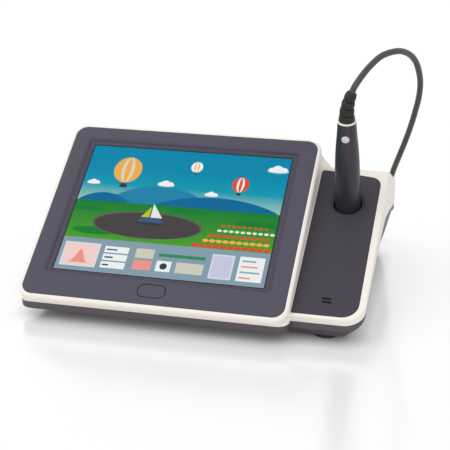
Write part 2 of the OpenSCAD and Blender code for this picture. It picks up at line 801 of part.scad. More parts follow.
// Base with its foot, posts, port opening and foot recesses
module base_shell() {
    color(dark_slate) difference() {
        union() {
            difference() {
                intersection() {
                    base_loft(base_stations, x_left + gap, x_right, base_inset);
                    case_plan(0, base_rear_y);
                }
                intersection() {
                    base_loft(
                        [for (s = base_stations)
                            [s[0], s[1] + cut, s[2] + wall / 2, max(s[3], base_z) + wall]],
                        x_left + gap + wall, x_right - wall, base_inset);
                    case_plan(wall, base_rear_y - wall);
                }
            }
            for (b = case_bosses) translate([b[0], b[1], base_z + 1])
                cylinder(h = boss_z - base_z - 1, d = boss_d);
            for (p = board_posts()) translate([p[0], p[1], base_z + 1])
                cylinder(h = board_z - base_z - 1, d = 6);
            translate([socket_x - 5, pump_y - 5, base_z + 1])
                cube([10, 10, port_z - manifold[2] / 2 - base_z - 1]);
        }
        for (b = case_bosses) translate([b[0], b[1], 0]) {
            cylinder(h = base_z + screw_head + 0.4, d = 6.4);
            cylinder(h = boss_z + 1, d = screw_d + 0.4);
        }
        for (p = board_posts()) translate([p[0], p[1], board_z - 5])
            cylinder(h = 6, d = 2.5 + 2 * running);
        for (x = foot_x, y = foot_y) translate([x, y, 0]) cylinder(h = base_z + foot_sink, d = foot_d);
        translate([plate_x - plate_w / 2, plate_y - wall, port_z - plate_h / 2])
            cube([plate_w, 20, plate_h]);
    }
}

module rubber_feet() {
    color(rubber_grey) for (x = foot_x, y = foot_y) translate([x, y, 0])
        cylinder(h = base_z + foot_sink, d = foot_d);
}

module case_screws() {
    color(steel) for (b = case_bosses) translate([b[0], b[1], base_z + 0.4]) {
        cylinder(h = screw_head, d = 5.6);
        cylinder(h = boss_z + 8 - base_z, d = screw_d);
    }
}

// Electronics

function board_holes(at, size) =
    [for (x = [4, size[0] - 4], y = [4, size[1] - 4]) [at[0] + x, at[1] + y]];
function board_posts() = concat(board_holes(main_board_at, main_board_size),
                                board_holes(power_board_at, power_board_size));

module drilled_board(at, size) {
    difference() {
        translate([at[0], at[1], board_z]) cube([size[0], size[1], board_t]);
        for (p = board_holes(at, size)) translate([p[0], p[1], board_z - 1])
            cylinder(h = 5, d = 2.5 + 2 * running);
    }
}

module main_board() {
    color(board_green) {
        drilled_board(main_board_at, main_board_size);
        for (chip = [[12, 10, 22, 22], [62, 14, 14, 10]])
            translate([main_board_at[0] + chip[0], main_board_at[1] + chip[1], board_z + board_t])
                cube([chip[2], chip[3], 2]);
        translate([cable_x - cable_w / 2 - 2, cable_y - 2.5, board_z + board_t])
            cube([cable_w + 4, 5, 3]);
    }
}

module processor_module() {
    color([0.15, 0.15, 0.2])
    translate([main_board_at[0] + 42, main_board_at[1] + 32, board_z + board_t]) {
        cube(module_size);
        for (i = [0 : 5])
            translate([2 + 7 * i, 3, module_size[2]]) cube([4, module_size[1] - 6, 5]);
    }
}

module board_screws() {
    color(steel) for (p = board_posts()) translate([p[0], p[1], board_z + board_t]) {
        cylinder(h = 1.6, d = 4.6);
        translate([0, 0, -board_t - 4]) cylinder(h = board_t + 4, d = 2.5);
    }
}

module power_board() {
    color(board_green) {
        drilled_board(power_board_at, power_board_size);
        translate([power_board_at[0] + 10, power_board_at[1] + 12, board_z + board_t])
            cube([18, 16, part_h]);
        for (share = [0.62, 0.83])
            translate([power_board_at[0] + power_board_size[0] / 3,
                       power_board_at[1] + share * power_board_size[1], board_z + board_t])
                cylinder(h = part_h, d = 8);
    }
}

module flat_cable() {
    color([0.85, 0.85, 0.8]) difference() {
        translate([cable_x - cable_w / 2, cable_y - 0.2, board_z + board_t + 3])
            cube([cable_w, 0.4, reach / 2]);
        on_display() translate([-panel_w / 2, -reach / 4, bracket_z]) cube([panel_w, reach, reach]);
    }
}

// Air system

module pump_motor() {
    color(steel) translate([pump_face - motor_l, pump_y, port_z]) rotate([0, 90, 0]) difference() {
        cylinder(h = motor_l, d = motor_d);
        translate([0, 0, -cut]) cylinder(h = motor_l + 2 * cut, d = rod_d + 2 * running);
    }
}

module pump_bracket() {
    color(steel) difference() {
        union() {
            translate([pump_face, pump_y - bracket_d / 2, base_z + wall])
                cube([bracket_plate, bracket_d, port_z - base_z - wall + motor_d / 2 + 1]);
            translate([pump_face, pump_y - bracket_d / 2, base_z + wall])
                cube([bracket_d / 2, bracket_d, 1.5]);
        }
        translate([pump_face - cut, pump_y, port_z]) rotate([0, 90, 0]) cylinder(h = 10, d = rod_d + 1);
    }
}

cylinder_x = pump_face + bracket_plate;
module pump_cylinder() {
    color([0.85, 0.88, 0.9]) translate([cylinder_x, pump_y, port_z]) rotate([0, 90, 0]) {
        difference() {
            union() {
                cylinder(h = pump_l, d = pump_bore + 2 * pump_wall);
                translate([0, 0, pump_l]) cylinder(h = nozzle_l, d = nozzle_d);
            }
            translate([0, 0, -cut]) cylinder(h = pump_l - 3 + cut, d = pump_bore);
            cylinder(h = pump_l + 10, d = 1.6);
        }
    }
}

piston_x = cylinder_x + pump_l / 2 - 5;
module pump_piston() {
    color(steel) translate([piston_x, pump_y, port_z]) rotate([0, 90, 0]) {
        cylinder(h = 7, d = pump_bore - 2 * running);
        translate([0, 0, pump_face - motor_l - 1 - piston_x])
            cylinder(h = piston_x - pump_face + motor_l + 1, d = rod_d);
    }
}

manifold_x = socket_x - manifold[0] / 2;
socket_back = port_y - port_depth - 2;
module air_tube() {
    color([0.8, 0.82, 0.8]) {
        translate([cylinder_x + pump_l, pump_y, port_z]) rotate([0, 90, 0]) difference() {
            cylinder(h = manifold_x - cylinder_x - pump_l, d = tube_d);
            translate([0, 0, -cut]) cylinder(h = 60, d = nozzle_d + 2 * running);
        }
        translate([socket_x, pump_y + manifold[1] / 2, port_z]) rotate([-90, 0, 0]) difference() {
            cylinder(h = socket_back - pump_y - manifold[1] / 2, d = tube_d);
            translate([0, 0, -cut]) cylinder(h = 60, d = nozzle_d + 2 * running);
        }
    }
}

module air_manifold() {
    color([0.8, 0.8, 0.78]) {
        translate([manifold_x, pump_y - manifold[1] / 2, port_z - manifold[2] / 2]) cube(manifold);
        translate([manifold_x - nozzle_l, pump_y, port_z]) rotate([0, 90, 0])
            cylinder(h = nozzle_l + cut, d = nozzle_d);
        translate([socket_x, pump_y + manifold[1] / 2 - 1, port_z]) rotate([-90, 0, 0])
            cylinder(h = nozzle_l + cut, d = nozzle_d);
    }
}

module relief_valve() {
    color(steel) translate([manifold_x + 8, pump_y, port_z + manifold[2] / 2]) {
        cylinder(h = 3, d = 10);
        translate([0, 0, 3]) cylinder(h = 14, d = 12);
    }
}

module pressure_sensor() {
    color(black) translate([manifold_x + 16, pump_y - 6, port_z + manifold[2] / 2]) {
        cube([12, 12, 6]);
        translate([6, 6, 6]) cylinder(h = 2, d = 5);
    }
}

// Rear connections

module connector_plate() {
    color(black) difference() {
        translate([plate_x - plate_w / 2 + gap, plate_y, port_z - plate_h / 2 + gap])
            cube([plate_w - 2 * gap, plate_t, plate_h - 2 * gap]);
        for (p = [[inlet_x, 8.2], [socket_x, 14.2], [jack_x, 8.2]])
            translate([p[0], plate_y - cut, port_z]) rotate([-90, 0, 0]) cylinder(h = 10, d = p[1]);
        for (x = [usb_x, jack_x + 18]) translate([x - 6.8, plate_y - cut, port_z - 3.2])
            cube([13.6, 10, 6.4]);
    }
}

module rear_board() {
    color(board_green) difference() {
        translate([plate_x - plate_w / 2 + 4, socket_back, port_z - 11])
            cube([plate_w - 8, board_t, 22]);
        translate([socket_x, socket_back - cut, port_z]) rotate([-90, 0, 0]) cylinder(h = 10, d = 14.2);
    }
}

module port_block(x, w, h, d) {
    translate([x - w / 2, socket_back + board_t, port_z - h / 2])
        cube([w, plate_y - socket_back - board_t, h]);
    translate([x, plate_y - cut, port_z]) rotate([-90, 0, 0]) cylinder(h = plate_t + cut, d = d);
}

module dc_inlet() {
    color(black) difference() {
        port_block(inlet_x, 11, 11, 8);
        translate([inlet_x, port_y - 9.5, port_z]) rotate([-90, 0, 0]) difference() {
            cylinder(h = 20, d = inlet_d);
            translate([0, 0, -cut]) cylinder(h = 9.5, d = 2.1);
        }
    }
}

// Two ports in one row, each a metal shell round a tongue
module usb_socket() {
    color(steel) for (x = [usb_x, jack_x + 18]) difference() {
        translate([x - 6.6, socket_back + board_t, port_z - 3])
            cube([13.2, port_y - socket_back - board_t, 6]);
        difference() {
            translate([x - 6.1, port_y - 11, port_z - 2.5]) cube([12.2, 20, 5]);
            translate([x - 5.6, port_y - 12, port_z - 0.2]) cube([11.2, 10.5, 1.9]);
        }
    }
}

module headphone_socket() {
    color(black) difference() {
        port_block(jack_x, 10, 10, 8);
        translate([jack_x, port_y - jack_l, port_z]) rotate([-90, 0, 0]) cylinder(h = 20, d = jack_d);
    }
}

module probe_socket() {
    color(steel) translate([socket_x, socket_back, port_z]) rotate([-90, 0, 0]) difference() {
        union() {
            cylinder(h = port_y - socket_back, d = 14);
            translate([0, 0, 9]) cylinder(h = plate_y - socket_back - 9, d = 17);
            translate([0, 0, -nozzle_l]) cylinder(h = nozzle_l + cut, d = nozzle_d);
        }
        translate([0, 0, port_y - socket_back - 10]) cylinder(h = 20, d = 10.2);
    }
}

// Probe

function tip_radius(z) = 8.4 - 3.9 * (handle_low - 2 - z) / 14;

handle_shape = [
    [8.6, handle_low], [handle_d / 2 - 0.4, -8], [handle_d / 2, 3], [handle_d / 2 - 0.2, 14],
    [handle_d / 2 - 0.55, 0.4 * handle_h], [handle_d / 2 - 1.1, 0.62 * handle_h],
    [handle_top_d / 2 + 0.75, 0.85 * handle_h], [handle_top_d / 2, handle_h]
];

module handle_body() {
    rotate_extrude() polygon(concat([[0, handle_low]], handle_shape, [[0, handle_h]]));
}

module handle_hollow() {
    rotate_extrude() polygon(concat(
        [[0, handle_low + 2]],
        [for (i = [0 : len(handle_shape) - 1])
            [handle_shape[i][0] - handle_wall,
             min(max(handle_shape[i][1], handle_low + 2), handle_h - 2)]],
        [[0, handle_h - 2]]));
}

// Heights of the handle's two screws
function screw_levels() = [-6, handle_h - 42.4];
screw_seat = 6.5;
screw_end = -5;
post_reach = 8.8;

// One half of the handle, with its half of the posts that the screws pass through
module handle_half(side) {
    difference() {
        intersection() {
            union() {
                difference() {
                    handle_body();
                    handle_hollow();
                }
                for (z = screw_levels())
                    translate([0, -post_reach, z]) rotate([-90, 0, 0])
                        cylinder(h = 2 * post_reach, d = 5);
            }
            translate([-reach / 2, side > 0 ? 0.02 : -reach - 0.02, -reach])
                cube([reach, reach, 2 * reach]);
        }
        for (z = screw_levels()) {
            translate([0, screw_end - seat, z]) rotate([-90, 0, 0])
                cylinder(h = 40, d = 2 + 2 * running);
            translate([0, screw_seat, z]) rotate([-90, 0, 0]) cylinder(h = 20, d = 4);
        }
    }
}

module handle_front() {
    color(black) on_probe() difference() {
        handle_half(-1);
        translate([0, 0, probe_button_up]) rotate([90, 0, 0])
            cylinder(h = 20, d = probe_button_d + 2 * running);
    }
}

module handle_rear() {
    color(black) on_probe() handle_half(1);
}

module handle_ring() {
    color(white) on_probe() translate([0, 0, handle_h]) cylinder(h = ring_t, d = handle_top_d + 0.3);
}

module cord_boot() {
    color(black) on_probe() for (i = [0 : boot_ribs - 1]) {
        low = boot_d / 2 + (boot_top_d - boot_d) / 2 * i / boot_ribs;
        high = boot_d / 2 + (boot_top_d - boot_d) / 2 * (i + 1) / boot_ribs;
        translate(boot_point(i)) rotate([0, boot_angle(i), 0]) {
            cylinder(h = boot_step - 1.3, r1 = low, r2 = high);
            translate([0, 0, i == 0 ? 0 : -0.8])
                cylinder(h = boot_step + (i == 0 ? 0 : 0.8), r = high - 1);
            if (i == boot_ribs - 1) cylinder(h = boot_step, r = high - 0.2);
        }
    }
}

module probe_tip() {
    color(black) on_probe() difference() {
        rotate_extrude() polygon([
            [0, handle_low], [8.4, handle_low], [8.4, handle_low - 2], [4.5, handle_low - 16],
            [3, handle_low - 17], [3, handle_low - tip_l], [0, handle_low - tip_l]
        ]);
        translate([0, 0, handle_low - tip_l - cut]) cylinder(h = tip_l + 2 * cut, d = tip_bore);
    }
}

button_front = lookup(probe_button_up, [for (p = handle_shape) [p[1], p[0]]]) + 0.35;
flange_z = 4;
flange_t = 1;
module probe_button() {
    color([0.75, 0.76, 0.78]) on_probe() translate([0, 0, probe_button_up]) rotate([90, 0, 0]) {
        translate([0, 0, flange_z]) cylinder(h = flange_t, d = probe_button_d + 1.8);
        translate([0, 0, flange_z + flange_t])
            cylinder(h = button_front - flange_z - flange_t, d = probe_button_d);
    }
}

module probe_board() {
    color(board_green) on_probe() {
        translate([-5.2, 1.2, handle_h - 36.4]) cube([10.4, 1.6, 30]);
        translate([-3, -1.4, probe_button_up - 3]) cube([6, 2.6, 6]);
        translate([0, -1.4, probe_button_up]) rotate([90, 0, 0])
            cylinder(h = flange_z - 1.4 - probe_travel - 0.1, d = 3);
    }
}

module probe_receiver() {
    color(steel) on_probe() translate([-6.3, -3, -20.5]) cube([5.6, 6, 10]);
}

module probe_microphone() {
    color(steel) on_probe() translate([1, -3, -21.5]) cube([5, 5, 6]);
}

module probe_screws() {
    color(steel) on_probe() for (z = screw_levels()) translate([0, 0, z]) rotate([-90, 0, 0]) {
        translate([0, 0, screw_end]) cylinder(h = screw_seat - screw_end, d = 2);
        translate([0, 0, screw_seat]) cylinder(h = 1.4, d = 3.8);
    }
}

// Cord

module probe_cord() {
    color(rubber_grey) tube(arch_route, cord_d, 10);
}

module cord_drop() {
    color(rubber_grey) tube(drop_route, cord_d, 10);
}

module cord_coil() {
    color(rubber_grey) tube(coil_route, cord_d, 6);
}

module cord_tail() {
    color(rubber_grey) tube(tail_route, cord_d, 10);
}

module probe_plug() {
    color(black) translate([socket_x, port_y, port_z]) rotate([-90, 0, 0]) {
        cylinder(h = plug_l, d = 12.5);
        translate([0, 0, -9]) cylinder(h = 9 + cut, d = 10);
    }
}

module plug_boot() {
    color(black) translate([socket_x, port_y + plug_l, port_z]) rotate([-90, 0, 0])
        cylinder(h = plug_boot_l, d1 = 10, d2 = 7);
}

display_frame();
bezel_panel();
touch_glass();
lcd_panel();
lcd_bracket();
bracket_screws();
start_button();
button_board();
top_cover();
wing_panel();
cradle_cup();
speaker();
base_shell();
rubber_feet();
case_screws();
main_board();
processor_module();
board_screws();
power_board();
flat_cable();
pump_motor();
pump_bracket();
pump_cylinder();
pump_piston();
air_tube();
air_manifold();
relief_valve();
pressure_sensor();
connector_plate();
rear_board();
dc_inlet();
usb_socket();
headphone_socket();
probe_socket();
handle_front();
handle_rear();
handle_ring();
cord_boot();
probe_tip();
probe_button();
probe_board();
probe_receiver();
probe_microphone();
probe_screws();
probe_cord();
cord_drop();
cord_coil();
cord_tail();
probe_plug();
plug_boot();
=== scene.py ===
import json
import math

import bmesh
import bpy
from mathutils import Matrix, Vector


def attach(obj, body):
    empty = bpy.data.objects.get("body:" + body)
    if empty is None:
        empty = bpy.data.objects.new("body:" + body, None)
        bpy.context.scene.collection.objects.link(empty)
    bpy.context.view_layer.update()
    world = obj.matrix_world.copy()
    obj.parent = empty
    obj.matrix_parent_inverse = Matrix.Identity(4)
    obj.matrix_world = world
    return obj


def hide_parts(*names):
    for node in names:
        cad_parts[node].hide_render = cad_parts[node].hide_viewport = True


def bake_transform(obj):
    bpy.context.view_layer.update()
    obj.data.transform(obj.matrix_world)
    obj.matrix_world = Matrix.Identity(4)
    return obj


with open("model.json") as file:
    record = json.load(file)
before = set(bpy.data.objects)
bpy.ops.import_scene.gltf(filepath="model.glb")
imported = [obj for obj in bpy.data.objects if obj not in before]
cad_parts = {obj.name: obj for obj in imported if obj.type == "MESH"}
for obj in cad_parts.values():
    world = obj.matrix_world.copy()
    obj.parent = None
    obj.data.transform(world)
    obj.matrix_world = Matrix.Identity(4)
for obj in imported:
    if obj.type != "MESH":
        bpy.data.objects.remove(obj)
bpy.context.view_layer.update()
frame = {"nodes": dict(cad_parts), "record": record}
print("frame loaded")

cameraSetting = {
    "place": (0.2304, -0.88998, 0.3808),
    "right": (0.9697, 0.2444, 0.0),
    "up": (-0.0822, 0.3263, 0.9417),
    "back": (0.2302, -0.9131, 0.3365),
    "lens": 93.96,
}


def makeCamera(s):
    data = bpy.data.cameras.new("productCamera")
    data.sensor_width = 36
    data.lens = s["lens"]
    camera = bpy.data.objects.new("productCamera", data)
    bpy.context.collection.objects.link(camera)
    turn = Matrix((s["right"], s["up"], s["back"])).transposed().to_4x4()
    camera.matrix_world = Matrix.Translation(s["place"]) @ turn
    bpy.context.scene.camera = camera


makeCamera(cameraSetting)
print("camera placed")


# meshes are drawn in millimetres, in the place of the piece they belong to
def rotX(degrees):
    return Matrix.Rotation(math.radians(degrees), 4, "X")


def atPlace(x, y, z):
    return Matrix.Translation((x, y, z))


weldGap = {"fine": 1e-4, "coarse": 1e-3}


def editMesh(mesh, change, *values):
    bm = bmesh.new()
    bm.from_mesh(mesh)
    change(bm, *values)
    bm.to_mesh(mesh)
    bm.free()


def weld(bm, distance):
    bmesh.ops.remove_doubles(bm, verts=bm.verts, dist=distance)
    bmesh.ops.recalc_face_normals(bm, faces=bm.faces)


def meshFrom(name, verts, faces):
    mesh = bpy.data.meshes.new(name)
    mesh.from_pydata([tuple(v) for v in verts], [], faces)
    editMesh(mesh, weld, weldGap["fine"])
    return mesh


def addObject(name, mesh):
    obj = bpy.data.objects.new(name, mesh)
    bpy.context.collection.objects.link(obj)
    return obj


def plainMesh(obj):
    # what the modifiers or the curve make, as a plain mesh object of the same name
    graph = bpy.context.evaluated_depsgraph_get()
    mesh = bpy.data.meshes.new_from_object(obj.evaluated_get(graph))
    name = obj.name
    bpy.data.objects.remove(obj)
    return addObject(name, mesh)


def smooth(obj, angle=32):
    obj.data.polygons.foreach_set("use_smooth", [True] * len(obj.data.polygons))
    obj.data.set_sharp_from_angle(angle=math.radians(angle))
    return obj


def settle(obj, place=Matrix(), angle=32):
    # from millimetres in the piece's own place to metres in the part's frame
    obj.data.transform(Matrix.Scale(0.001, 4) @ place)
    return smooth(obj, angle)


def joined(name, objects):
    bm = bmesh.new()
    for obj in objects:
        bm.from_mesh(obj.data)
    mesh = bpy.data.meshes.new(name)
    bm.to_mesh(mesh)
    bm.free()
    for obj in objects:
        bpy.data.objects.remove(obj)
    return addObject(name, mesh)


def coat(obj, material):
    obj.data.materials.clear()
    obj.data.materials.append(material)


def dress(obj, body, slotName, material, *nodes):
    coat(obj, material)
    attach(obj, body)
    if nodes:
        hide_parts(*nodes)
    return obj


def cornerLoop(x0, y0, x1, y1, radii, steps=12):
    # rounded rectangle, anticlockwise from the front left, as (x, y, outward x, outward y)
    corners = [(x0, y0, 1, 1, 180), (x1, y0, -1, 1, 270), (x1, y1, -1, -1, 0), (x0, y1, 1, -1, 90)]
    loop = []
    for (cx, cy, sx, sy, start), r in zip(corners, radii):
        if r <= 0:
            loop.append((cx, cy, -sx, -sy))
            continue
        for k in range(steps + 1):
            a = math.radians(start + 90 * k / steps)
            across, along = math.cos(a), math.sin(a)
            loop.append((cx + sx * r + r * across, cy + sy * r + r * along, across, along))
    return loop


def framed(w, h, up, pad, r, steps=4):
    # rounded rectangle round a centred field, with a margin
    return cornerLoop(-w / 2 - pad, up - h / 2 - pad, w / 2 + pad, up + h / 2 + pad, [r] * 4, steps)


def arcPoints(cx, cy, r, a0, a1, steps):
    turns = [math.radians(a0 + (a1 - a0) * k / steps) for k in range(steps + 1)]
    return [(cx + r * math.cos(a), cy + r * math.sin(a)) for a in turns]


def layered(name, rings, closed=True, looped=False):
    # skin through rings of equal count; looped rings meet again, the others get a face at both ends
    n, m = len(rings), len(rings[0])
    faces = [
        (i * m + j, i * m + (j + 1) % m, (i + 1) % n * m + (j + 1) % m, (i + 1) % n * m + j)
        for i in range(n if looped else n - 1)
        for j in range(m if closed else m - 1)
    ]
    if not looped:
        faces += [tuple(range(m)), tuple(range(n * m - 1, (n - 1) * m - 1, -1))]
    return addObject(name, meshFrom(name, [p for ring in rings for p in ring], faces))


def sweepLoop(name, loop, profile):
    # a closed profile of (outward, height) carried round a loop
    rings = [[(x + nx * out, y + ny * out, z) for out, z in profile] for x, y, nx, ny in loop]
    return layered(name, rings, looped=True)


def plate(name, outline, holes, top, thickness, edge):
    # flat plate whose upper and lower edges are rounded, also round its holes
    curve = bpy.data.curves.new(name, "CURVE")
    curve.dimensions, curve.fill_mode = "2D", "BOTH"
    curve.extrude, curve.bevel_depth = thickness / 2 - edge, edge
    curve.bevel_resolution, curve.offset = 3, -edge
    for points in [outline] + [h[::-1] for h in holes]:
        spline = curve.splines.new("POLY")
        spline.points.add(len(points) - 1)
        for p, q in zip(spline.points, points):
            p.co = (q[0], q[1], 0, 1)
        spline.use_cyclic_u = True
    obj = plainMesh(addObject(name, curve))
    editMesh(obj.data, weld, weldGap["coarse"])
    obj.data.transform(atPlace(0, 0, top - thickness / 2))
    return obj


def prism(name, points, x0, x1):
    # a side view of (depth, height) carried from one X to another
    return layered(name, [[(x, y, z) for (y, z) in points] for x in (x0, x1)])


def column(name, loop, z0, z1):
    return layered(name, [[(p[0], p[1], z) for p in loop] for z in (z0, z1)])


def combine(obj, other, how="DIFFERENCE"):
    step = obj.modifiers.new("combine", "BOOLEAN")
    step.operation, step.solver, step.object = how, "EXACT", other
    obj = plainMesh(obj)
    bpy.data.objects.remove(other)
    return obj


def softened(obj, width, segments, angle):
    # rounds every edge that turns more than the angle, apart from those of the underside
    def turns(edge):
        under = any(face.normal.z < -0.7 for face in edge.link_faces)
        return len(edge.link_faces) == 2 and edge.calc_face_angle(0) > math.radians(angle) and not under

    def change(bm):
        bmesh.ops.remove_doubles(bm, verts=bm.verts, dist=weldGap["coarse"])
        picked = [edge for edge in bm.edges if turns(edge)]
        bmesh.ops.bevel(
            bm, geom=picked, offset=width, segments=segments, profile=0.5, affect="EDGES", clamp_overlap=True
        )

    editMesh(obj.data, change)


def turned(name, profile, steps=64, a0=0.0, a1=360.0):
    # profile of (radius, height) turned about Z; a part turn is closed with flat sides
    whole = abs(a1 - a0) >= 360
    turns = [math.radians(a0 + (a1 - a0) * k / steps) for k in range(steps if whole else steps + 1)]
    rings = [[(r * math.cos(a), r * math.sin(a), z) for r, z in profile] for a in turns]
    return layered(name, rings, closed=False, looped=whole)


def splinePoints(points, spacing):
    # Catmull-Rom curve through the points, at an even spacing
    p = [Vector(q) for q in points]
    ends = [p[0] * 2 - p[1]] + p + [p[-1] * 2 - p[-2]]
    dense = []
    for i in range(1, len(ends) - 2):
        a, b, c, d = ends[i - 1 : i + 3]
        parts = max(2, int((c - b).length / spacing * 4))
        for k in range(parts):
            t = k / parts
            bend = (2 * a - 5 * b + 4 * c - d) * t * t + (3 * b - a - 3 * c + d) * t**3
            dense.append(0.5 * (2 * b + (c - a) * t + bend))
    dense.append(p[-1])
    result, gone = [dense[0]], 0.0
    for a, b in zip(dense, dense[1:]):
        gone += (b - a).length
        if gone >= spacing:
            result.append(b)
            gone = 0.0
    if (result[-1] - dense[-1]).length > spacing * 0.3:
        result.append(dense[-1])
    else:
        result[-1] = dense[-1]
    return result


def flatSpline(points, spacing):
    return [(p.y, p.z) for p in splinePoints([(0, y, z) for y, z in points], spacing)]


def tubeAlong(name, path, radius, sides):
    rings, normal = [], Vector((0.3, 0.1, 1))
    turns = [2 * math.pi * k / sides for k in range(sides)]
    for i, p in enumerate(path):
        ahead = (path[min(i + 1, len(path) - 1)] - path[max(i - 1, 0)]).normalized()
        normal = (normal - ahead * normal.dot(ahead)).normalized()
        cross = ahead.cross(normal)
        rings.append([p + radius * (math.cos(a) * normal + math.sin(a) * cross) for a in turns])
    return layered(name, rings)


def feed(tree, node, inputs):
    # gives each input a value, or links it to a socket, a node's first output, or a list of them
    for label, value in inputs.items():
        for source in value if isinstance(value, list) else [value]:
            if isinstance(source, bpy.types.Node):
                source = source.outputs[0]
            if isinstance(source, bpy.types.NodeSocket):
                tree.links.new(source, node.inputs[label])
            else:
                node.inputs[label].default_value = source
    return node


def addNode(tree, kind, inputs=None, **settings):
    node = tree.nodes.new(kind)
    for name, value in settings.items():
        setattr(node, name, value)
    return feed(tree, node, inputs or {})


def calc(tree, how, *values):
    return addNode(tree, "ShaderNodeMath", dict(enumerate(values)), operation=how).outputs[0]


def newGroup(name, kind, inputs, outputs):
    group = bpy.data.node_groups.new(name, kind)
    for way, sockets in (("INPUT", inputs), ("OUTPUT", outputs)):
        for label, form in sockets:
            group.interface.new_socket(label, in_out=way, socket_type="NodeSocket" + form)
    return group, group.nodes.new("NodeGroupInput"), group.nodes.new("NodeGroupOutput")


# geometry trees for what repeats; each ends in Realize Instances and Set Material
def newTree(name, inputs):
    ends = [("Geometry", "Geometry")]
    return newGroup(name, "GeometryNodeTree", ends + inputs + [("Material", "Material")], ends)


def closeTree(tree, given, out, result):
    real = addNode(tree, "GeometryNodeRealizeInstances", {"Geometry": result})
    ends = {"Geometry": real, "Material": given.outputs["Material"]}
    feed(tree, out, {"Geometry": addNode(tree, "GeometryNodeSetMaterial", ends)})
    return tree


def grown(name, start, tree, values):
    # runs a tree on a start mesh and keeps the result as a plain mesh
    obj = addObject(name, start)
    step = obj.modifiers.new("shape", "NODES")
    step.node_group = tree
    for item in tree.interface.items_tree:
        if item.in_out == "INPUT" and item.name in values:
            step[item.identifier] = values[item.name]
    return plainMesh(obj)


def lineMesh(points, edges):
    mesh = bpy.data.meshes.new("line")
    mesh.from_pydata([tuple(p) for p in points], edges, [])
    return mesh


def sleeve(name, points, sizes, material):
    # a ribbed sleeve along the points; its sizes are in the order of sleeveLabels
    start = lineMesh(points, [(k, k + 1) for k in range(len(points) - 1)])
    return grown(name, start, sleeveTree, {**dict(zip(sleeveLabels, sizes)), "Material": material})


screwLabels = ("Head Radius", "Head Height", "Shank Radius", "Shank Length", "Recess Width")
sleeveLabels = ("Low Radius", "High Radius", "Ribs", "Groove Depth", "Groove Share", "Belly")


def makeScrewTree():
    # screws on points: the cross recess looks down, the shank points up
    tree, given, out = newTree("screwsOnPoints", [(label, "Float") for label in screwLabels])
    g = given.outputs
    radius, height = g["Head Radius"], g["Head Height"]

    def times(value, factor):
        return calc(tree, "MULTIPLY", value, factor)

    def placed(mesh, z, spin=0.0):
        shift = addNode(tree, "ShaderNodeCombineXYZ", {"Z": z})
        move = {"Geometry": mesh, "Translation": shift, "Rotation": (0, 0, spin)}
        return addNode(tree, "GeometryNodeTransform", move)

    def cylinder(sides, r, depth):
        return addNode(tree, "GeometryNodeMeshCylinder", {"Vertices": sides, "Radius": r, "Depth": depth})

    low, rest = times(height, 0.35), times(height, 0.65)
    cone = {"Vertices": 32, "Radius Top": radius, "Radius Bottom": times(radius, 0.84), "Depth": low}
    crown = addNode(tree, "GeometryNodeMeshCone", cone)
    side = placed(cylinder(32, radius, rest), times(height, 0.674))
    head = addNode(tree, "GeometryNodeMeshBoolean", {"Mesh 2": [crown, side]}, operation="UNION")
    bars = []
    for spin in (0.0, math.pi / 2):
        slot = {"X": times(radius, 1.15), "Y": g["Recess Width"], "Z": height}
        size = addNode(tree, "ShaderNodeCombineXYZ", slot)
        bars.append(placed(addNode(tree, "GeometryNodeMeshCube", {"Size": size}), times(height, 0.02), spin))
    cut = addNode(tree, "GeometryNodeMeshBoolean", {"Mesh 1": head, "Mesh 2": bars}, operation="DIFFERENCE")
    reach = calc(tree, "MULTIPLY_ADD", g["Shank Length"], 0.5, height)
    shank = placed(cylinder(20, g["Shank Radius"], g["Shank Length"]), reach)
    whole = addNode(tree, "GeometryNodeJoinGeometry", {"Geometry": [cut, shank]})
    spread = addNode(tree, "GeometryNodeInstanceOnPoints", {"Points": g["Geometry"], "Instance": whole})
    return closeTree(tree, given, out, spread)


def makeCopiesTree():
    # copies of one drawn piece on points
    tree, given, out = newTree("copiesOnPoints", [("Piece", "Object")])
    info = addNode(tree, "GeometryNodeObjectInfo", {"Object": given.outputs["Piece"]})
    ends = {"Points": given.outputs["Geometry"], "Instance": info.outputs["Geometry"]}
    return closeTree(tree, given, out, addNode(tree, "GeometryNodeInstanceOnPoints", ends))


def makeSleeveTree():
    # a tapered sleeve along a path, with rounded ribs and a groove after each rib
    tree, given, out = newTree("ribbedSleeve", [(label, "Float") for label in sleeveLabels])
    g = given.outputs

    def c(how, *values):
        return calc(tree, how, *values)

    line = addNode(tree, "GeometryNodeMeshToCurve", {"Mesh": g["Geometry"]})
    along = addNode(tree, "GeometryNodeSplineParameter").outputs["Factor"]
    phase = c("FRACT", c("MULTIPLY", along, g["Ribs"]))
    solid = c("SUBTRACT", 1.0, g["Groove Share"])
    ribPart = c("MINIMUM", c("DIVIDE", phase, solid), 1.0)
    groovePart = c("MAXIMUM", c("DIVIDE", c("SUBTRACT", phase, solid), g["Groove Share"]), 0.0)
    rib = c("SINE", c("MULTIPLY", ribPart, math.pi))
    groove = c("POWER", c("SINE", c("MULTIPLY", groovePart, math.pi)), 0.6)
    taper = c("MULTIPLY_ADD", c("SUBTRACT", g["High Radius"], g["Low Radius"]), along, g["Low Radius"])
    swollen = c("MULTIPLY_ADD", g["Belly"], rib, taper)
    radius = c("SUBTRACT", swollen, c("MULTIPLY", g["Groove Depth"], groove))
    ring = addNode(tree, "GeometryNodeCurvePrimitiveCircle", {"Resolution": 40, "Radius": 1.0})
    sweep = {"Curve": line, "Profile Curve": ring, "Scale": radius, "Fill Caps": True}
    return closeTree(tree, given, out, addNode(tree, "GeometryNodeCurveToMesh", sweep))


screwTree, copiesTree, sleeveTree = makeScrewTree(), makeCopiesTree(), makeSleeveTree()


def copies(name, piece, points, material=None):
    values = {"Piece": piece, "Material": material} if material else {"Piece": piece}
    result = grown(name, lineMesh([(*p, 0)[:3] for p in points], []), copiesTree, values)
    bpy.data.objects.remove(piece)
    return result


